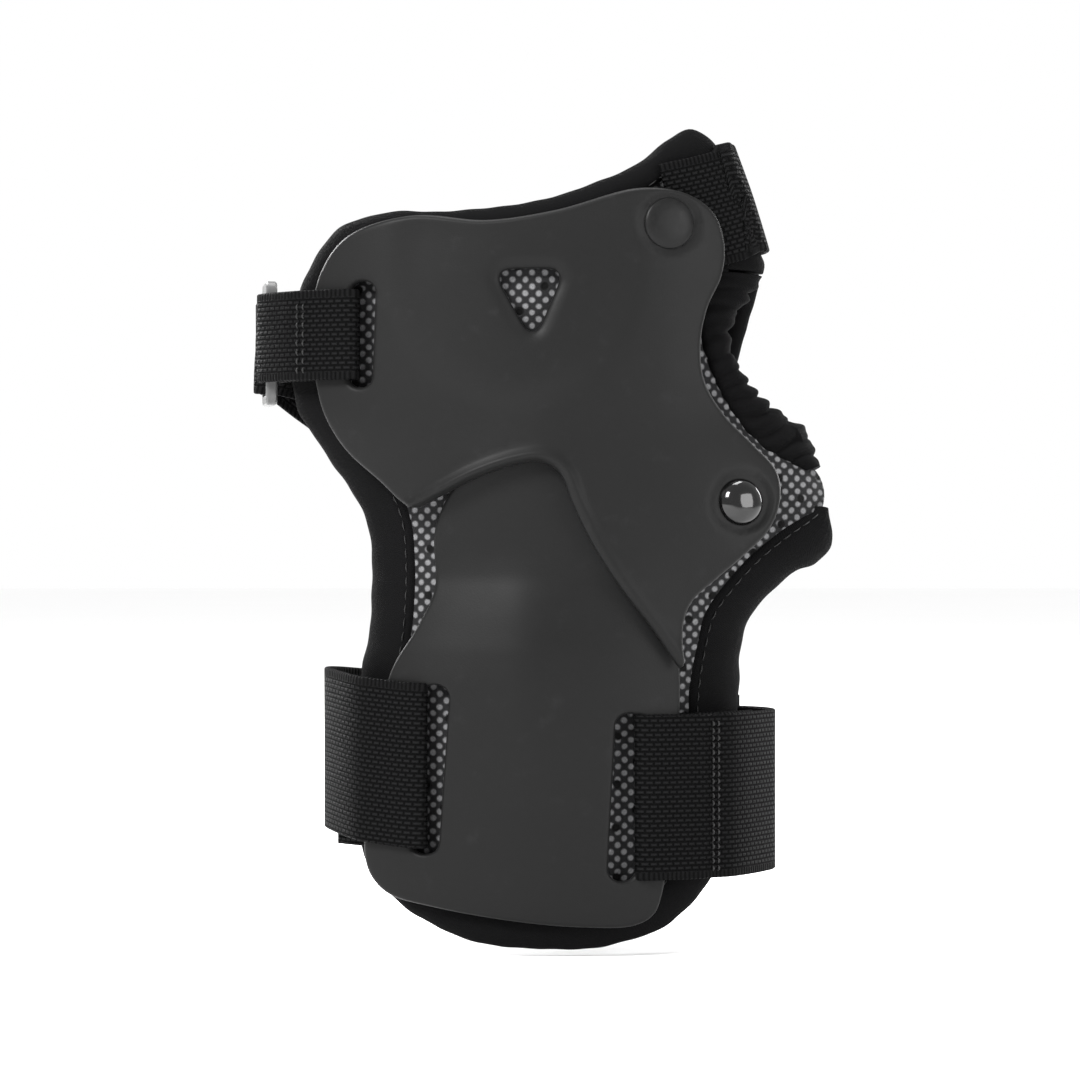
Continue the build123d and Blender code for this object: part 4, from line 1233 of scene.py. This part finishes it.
# ---------------------------------------------------------------------------------------------
# The ring and its webbing
# ---------------------------------------------------------------------------------------------
RING_CENTRE = np.array([-61.1, 0.4])
RING_ACROSS = np.array([-2, 14]) / np.hypot(2, 14)
RING_BAR_OUT = 6.25
RING_LOOP_Z = 135
JUNCTION_X = -15.1
FRONT_BAR = RING_CENTRE - RING_ACROSS * RING_BAR_OUT
BACK_BAR = RING_CENTRE + RING_ACROSS * RING_BAR_OUT


def round_bar(bar, first, last, radius=2.6, count=7):
    """Points in plan round a bar, from one angle to another."""
    return [tuple(bar + radius * np.array([cos(t), sin(t)])) for t in np.linspace(first, last, count)]


def build_ring_loop():
    """The palm plate's webbing loop, through the slot and round the ring's front bar."""
    z = RING_LOOP_Z + 1
    under = [plan_on_trough(x, z, 1.8) for x in (-43.4, -47, -52)]
    over = [plan_on_trough(x, z, 6.9) for x in (-54, -49, -43.4)]
    plan = under + [(-57.9, -8.4)] + round_bar(FRONT_BAR, radians(-30), radians(200)) + over
    plan += [plan_on_trough(x, z, out) for x, out in ((-41, 6.2), (-40.2, 4.6), (-40.6, 3), (-42.4, 2.2))]
    loop = plan_band("ring_loop_webbing", plan, z, 20, ring_webbing, (-45, -15), step=0.6)
    settle(loop, "root", "webbing", "ring_loop")
    heights = np.linspace(z - 9, z + 9, 12)
    rows = []
    for x in (-52.2, -53.6):
        flat = np.tile(plan_on_trough(x, z, 7.75), (12, 1))
        rows.append((np.column_stack([flat, heights]), np.tile([-0.62, -0.78, 0], (12, 1))))
    settle(threads("ring_loop_seam", rows, 1.5, 0.5, 0.22), "root", "thread")


def build_ring_strap():
    """The strap from the junction to the ring, folded back on itself round the ring's back bar."""
    lying = ((-8, 95.6, 5.3), (-18, 103, 5.2), (-27, 109.6, 4.6))
    points = [on(arch, arch_u(x, z), z, out)[0] for x, z, out in lying]
    points += [(-40, 18.9, 119.1), (-51, 13.9, 127.2), (-58.6, 10.4, 132.8)]
    for k, (x, y) in enumerate(round_bar(BACK_BAR, radians(112), radians(300), 2.6, 6)):
        points.append((x, y, 134.4 - 0.3 * k / 5))
    points += [(-57.6, 4.9, 133.6), (-50, 10.4, 131.4), (-42, 14.6, 127.6), (-34, 17.9, 123.2)]
    points.append((-26, 20.4, 118.6))
    path = edge_rows(evenly(catmull(points), 0.7))
    tangent = np.gradient(path, axis=0)
    flat_side = np.column_stack([-tangent[:, 1], tangent[:, 0], np.zeros(len(path))])
    outward = flat_side if np.sum(flat_side[:10, 1]) > 0 else -flat_side
    strap = band_along("ring_strap_webbing", path, outward, 20.6, ring_webbing, trim=trimmed_at_junction)
    settle(strap, "root", "webbing", "ring_strap")


def trimmed_at_junction(grid):
    """The grid with its first rows moved so that the webbing ends upright at the junction."""
    for column in range(grid.shape[1]):
        line = grid[:, column]
        along = lengths_along(line)
        crossing = int(np.argmax(line[:, 0] < JUNCTION_X))
        before, after = line[crossing - 1, 0], line[crossing, 0]
        share = (before - JUNCTION_X) / (before - after)
        start = along[crossing - 1] + share * (along[crossing] - along[crossing - 1])
        at = start + (along - along[0]) / along[-1] * (along[-1] - start)
        grid[:, column] = np.stack([np.interp(at, along, line[:, k]) for k in range(3)], -1)
    return grid


# ---------------------------------------------------------------------------------------------
# The cuff
# ---------------------------------------------------------------------------------------------
PAD_THICKNESS, CUFF_WIDTH = 4.6, 36.5


def cuff_xy(x, radius=CUFF_RADIUS):
    """X and Y of the cuff's back at X."""
    return (x, CUFF_CENTRE[1] + (radius**2 - (x - CUFF_CENTRE[0]) ** 2) ** 0.5)


def slot_turn(x, z, side, run):
    """Points in plan of webbing that comes from the side under the splint and turns up through a slot."""
    bend = ((0.4, 1.8), (-1.7, 2.6), (-2.2, 4), (-1.7, 5.5), (0.4, 6.3))
    under = [plan_on_trough(far, z, 1.8) for far in run]
    return under + [plan_on_trough(x + side * step, z, out) for step, out in bend]


def build_cuff_straps():
    """The long strap, fixed and free in one piece of webbing, and the short strap."""
    z = 40
    plan = slot_turn(-27.4, z, -1, (-45, -40, -33)) + [plan_on_trough(x, z, 6.3) for x in (-33, -40)]
    plan += [(-46.6, -4.6), (-48.1, 3), (-46, 11.2), (-41, 18.6), (-34, 24.6)]
    plan += [cuff_xy(x) for x in (-25, -10, 7, 24, 40, 47)]

    def rise(share):
        return 3.2 * bump(share - 0.38, 0.16) - 4.2 * ease((share - 0.5) / 0.5) + 0.3

    strap = plan_band("cuff_strap_webbing", plan, z, CUFF_WIDTH, cuff_webbing, (0, 0), rise=rise)
    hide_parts("cuff_strap_root", "cuff_strap_tab")
    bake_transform(strap)

    z = 34
    over = ((30, 6.5), (36, 6.8), (38.4, 6.3), (43, 6.6))
    plan = slot_turn(24, z, 1, (48, 42, 34, 28)) + [plan_on_trough(x, z, out) for x, out in over]
    plan += [(50.6, -5.4), (53.2, 1.6), (52.2, 8.6), (48.2, 14.2)]
    plan += [cuff_xy(x, 86.6) for x in (41, 30, 20, 14)]
    short = plan_band("short_strap_webbing", plan, z, CUFF_WIDTH, cuff_webbing, (0, 0))
    settle(short, "root", "webbing", "cuff_strap_short")


def cuff_loop(centre, size, radius):
    """A round-cornered outline on the cuff."""
    (x, z), w, h = centre, size[0] / 2, size[1] / 2
    return rounded_corners([(x - w, z - h), (x + w, z - h), (x + w, z + h), (x - w, z + h)], radius, 1.2)


def build_cuff_closure():
    """The cuff pad, the label patch and the hook and loop patches."""
    label_out = WEB / 2 + 0.05
    piece = patch("label_patch_cloth", cuff, cuff_loop((6.2, 35.5), (57.5, 24), 1.2), label_cloth,
                  label_out + 0.85, label_out, edge=0.35)
    settle(piece, "cuff_tab", "label_fabric", "label_patch")
    rows = []
    for dz in (-10.9, 10.9):
        heights = np.full(60, 35.5 + dz) + 0.55 * np.sign(np.sin(np.arange(60) * pi / 2 + 0.5))
        rows.append(on(cuff, np.linspace(-21.5, 33.9, 60), heights, np.full(60, label_out + 0.9)))
    for u in (-21.6, 34.0):
        rows.append(on(cuff, np.full(30, u), np.linspace(25.4, 45.6, 30), np.full(30, label_out + 0.9)))
    settle(threads("label_seam", rows, 1.5, 0.35, 0.24), "cuff_tab", "thread", "label_stitching")

    pad_face = -WEB / 2 - 0.15
    pad_back = pad_face - PAD_THICKNESS
    pad = patch("cuff_pad_cover", cuff, cuff_loop((-2, 38), (71, 48), 19), pad_cloth,
                lambda u, v, far: pad_face - 0.9 * bump(far, 4),
                lambda u, v, far: pad_back + 0.9 * bump(far, 4),
                spacing=2.4, edge=2.4, rows=(0.05, 0.2, 0.45, 0.8, 1.1))
    swell(pad)
    settle(pad, "cuff_tab", "pad_fabric", "cuff_pad")

    short_face = 86.6 - CUFF_RADIUS + WEB / 2
    loop = cuff_loop((20, 36), (24, 32), 2)
    hooks = patch("cuff_hooks", cuff, loop, hook_tape, pad_back - 0.1, pad_back - 0.9)
    settle(hooks, "cuff_tab", "hook_tape", "cuff_hook_patch")
    loop = cuff_loop((21.5, 34), (26, 34), 2)
    loops = patch("cuff_loops", cuff, loop, loop_tape, short_face + 0.9, short_face + 0.1)
    settle(loops, "root", "loop_tape", "cuff_loop_patch")


def evaluated(piece):
    """A copy of a piece's mesh with its modifiers applied. The modifiers are removed."""
    graph = bpy.context.evaluated_depsgraph_get()
    mesh = bpy.data.meshes.new_from_object(piece.evaluated_get(graph), depsgraph=graph)
    piece.modifiers.clear()
    return mesh


def swell(piece):
    """Fills a padded piece by cloth simulation: remeshed, blown up a little and smoothed."""
    cap, voxel, frames = 0.0012, 0.0022, 20
    remesh = piece.modifiers.new("even", "REMESH")
    remesh.mode, remesh.voxel_size = "VOXEL", voxel
    piece.data = evaluated(piece)
    before = np.array([v.co for v in piece.data.vertices])
    cloth = piece.modifiers.new("swell", "CLOTH")
    cloth.settings.use_pressure = True
    cloth.settings.uniform_pressure_force = 4.0
    cloth.settings.effector_weights.gravity = 0
    cloth.settings.quality = 6
    cloth.point_cache.frame_start, cloth.point_cache.frame_end = 1, frames
    for number in range(1, frames + 1):
        bpy.context.scene.frame_set(number)
    blown = evaluated(piece)
    bpy.context.scene.frame_set(1)
    move = np.array([v.co for v in blown.vertices]) - before
    move *= np.minimum(1, cap / np.maximum(np.linalg.norm(move, axis=1, keepdims=True), 1e-9))
    blown.vertices.foreach_set("co", (before + move).ravel())
    blown.polygons.foreach_set("use_smooth", [True] * len(blown.polygons))
    piece.data = blown
    smoother = piece.modifiers.new("smooth", "SMOOTH")
    smoother.iterations, smoother.factor = 8, 0.5
    piece.modifiers.new("finer", "SUBSURF").levels = 1
    piece.data = evaluated(piece)
    if not piece.data.materials:
        piece.data.materials.append(pad_cloth)


def build_tacks():
    """Bar tacks where webbing is sewn to itself."""
    rows = []
    for x in (38.6, 39.8):
        heights = np.linspace(17, 51, 30)
        flat = np.tile(plan_on_trough(x, 34, 7.1), (30, 1))
        out = on(trough, x, 34, 0)[1]
        rows.append((np.column_stack([flat, heights]), np.tile(out, (30, 1))))
    for x in (-17.2, -23.5):
        z = np.linspace(91, 111, 20) - 0.7 * (x + 17.2)
        rows.append(on(arch, arch_u(x, z), z, np.full(20, 6.05 + 0.07 * (x + 17.2))))
    settle(threads("strap_tacks", rows, 1.3, 0.3, 0.26), "root", "thread", "bar_tacks")


# ---------------------------------------------------------------------------------------------
# Stage
# ---------------------------------------------------------------------------------------------
FRAME_HEIGHT = 0.236
LENS, SENSOR = 120, 36


def build_camera():
    """A long lens level with the middle of the guard, looking at the palm plate."""
    low, high = cad_box
    centre = (Vector(low) + Vector(high)) / 2
    data = bpy.data.cameras.new("camera")
    data.lens, data.sensor_width = LENS, SENSOR
    data.clip_start, data.clip_end = 0.01, 20
    camera = bpy.data.objects.new("camera", data)
    camera.location = (centre.x, low[1] - FRAME_HEIGHT * LENS / SENSOR, centre.z)
    camera.rotation_euler = (radians(90), 0, 0)
    bpy.context.scene.collection.objects.link(camera)
    bpy.context.scene.camera = camera


def softbox(name, place, aim, size, power):
    """A square area light that faces a point."""
    data = bpy.data.lights.new(name, "AREA")
    data.size, data.energy = size, power
    light = bpy.data.objects.new(name, data)
    light.location = place
    light.rotation_euler = (Vector(aim) - Vector(place)).to_track_quat("-Z", "Y").to_euler()
    bpy.context.scene.collection.objects.link(light)


def build_stage():
    """A pale floor, a white surround and soft lights."""
    mesh = bpy.data.meshes.new("floor")
    size, low = 6.0, cad_box[0][2] - 0.0015
    corners = [(x * size, y * size, low) for x, y in ((-1, -1), (1, -1), (1, 1), (-1, 1))]
    mesh.from_pydata(corners, [], [(0, 1, 2, 3)])
    floor = bpy.data.objects.new("floor", mesh)
    bpy.context.scene.collection.objects.link(floor)
    paint = Shader("floor_paint", Roughness=0.9, Specular_IOR_Level=0.1)
    mottle = paint.noise(paint.place(), 3, 2, 0.5)
    paint.finish(paint.blend(mottle, (0.95, 0.95, 0.95), (0.97, 0.97, 0.97)))
    mesh.materials.append(paint.material)
    world = bpy.data.worlds.new("surround")
    world.use_nodes = True
    background = world.node_tree.nodes["Background"].inputs
    background[0].default_value, background[1].default_value = (1, 1, 1, 1), 1.0
    bpy.context.scene.world = world
    bpy.context.scene.view_settings.view_transform = "Standard"
    for name, place, size, power in (
        ("key", (-0.55, -0.75, 0.75), 0.4, 30),
        ("fill", (0.8, -0.7, 0.3), 0.5, 8),
        ("top", (0.05, 0.1, 1.1), 0.5, 14),
        ("back_left", (-0.7, 0.8, 0.6), 0.4, 20),
        ("back_right", (0.75, 0.7, 0.4), 0.5, 9),
    ):
        softbox(name, place, (0, 0, 0.09), size, power)


for build in (
    build_camera, build_stage, build_panel, build_bindings, build_palm_plate, build_splint, build_rivets,
    build_flap, build_hand_strap, build_wrist_strap, build_ring_loop, build_ring_strap, build_cuff_straps,
    build_cuff_closure, build_tacks,
):
    build()
repaint("strap_ring", ring_plastic)
repaint("rivet_washers", washer_metal)
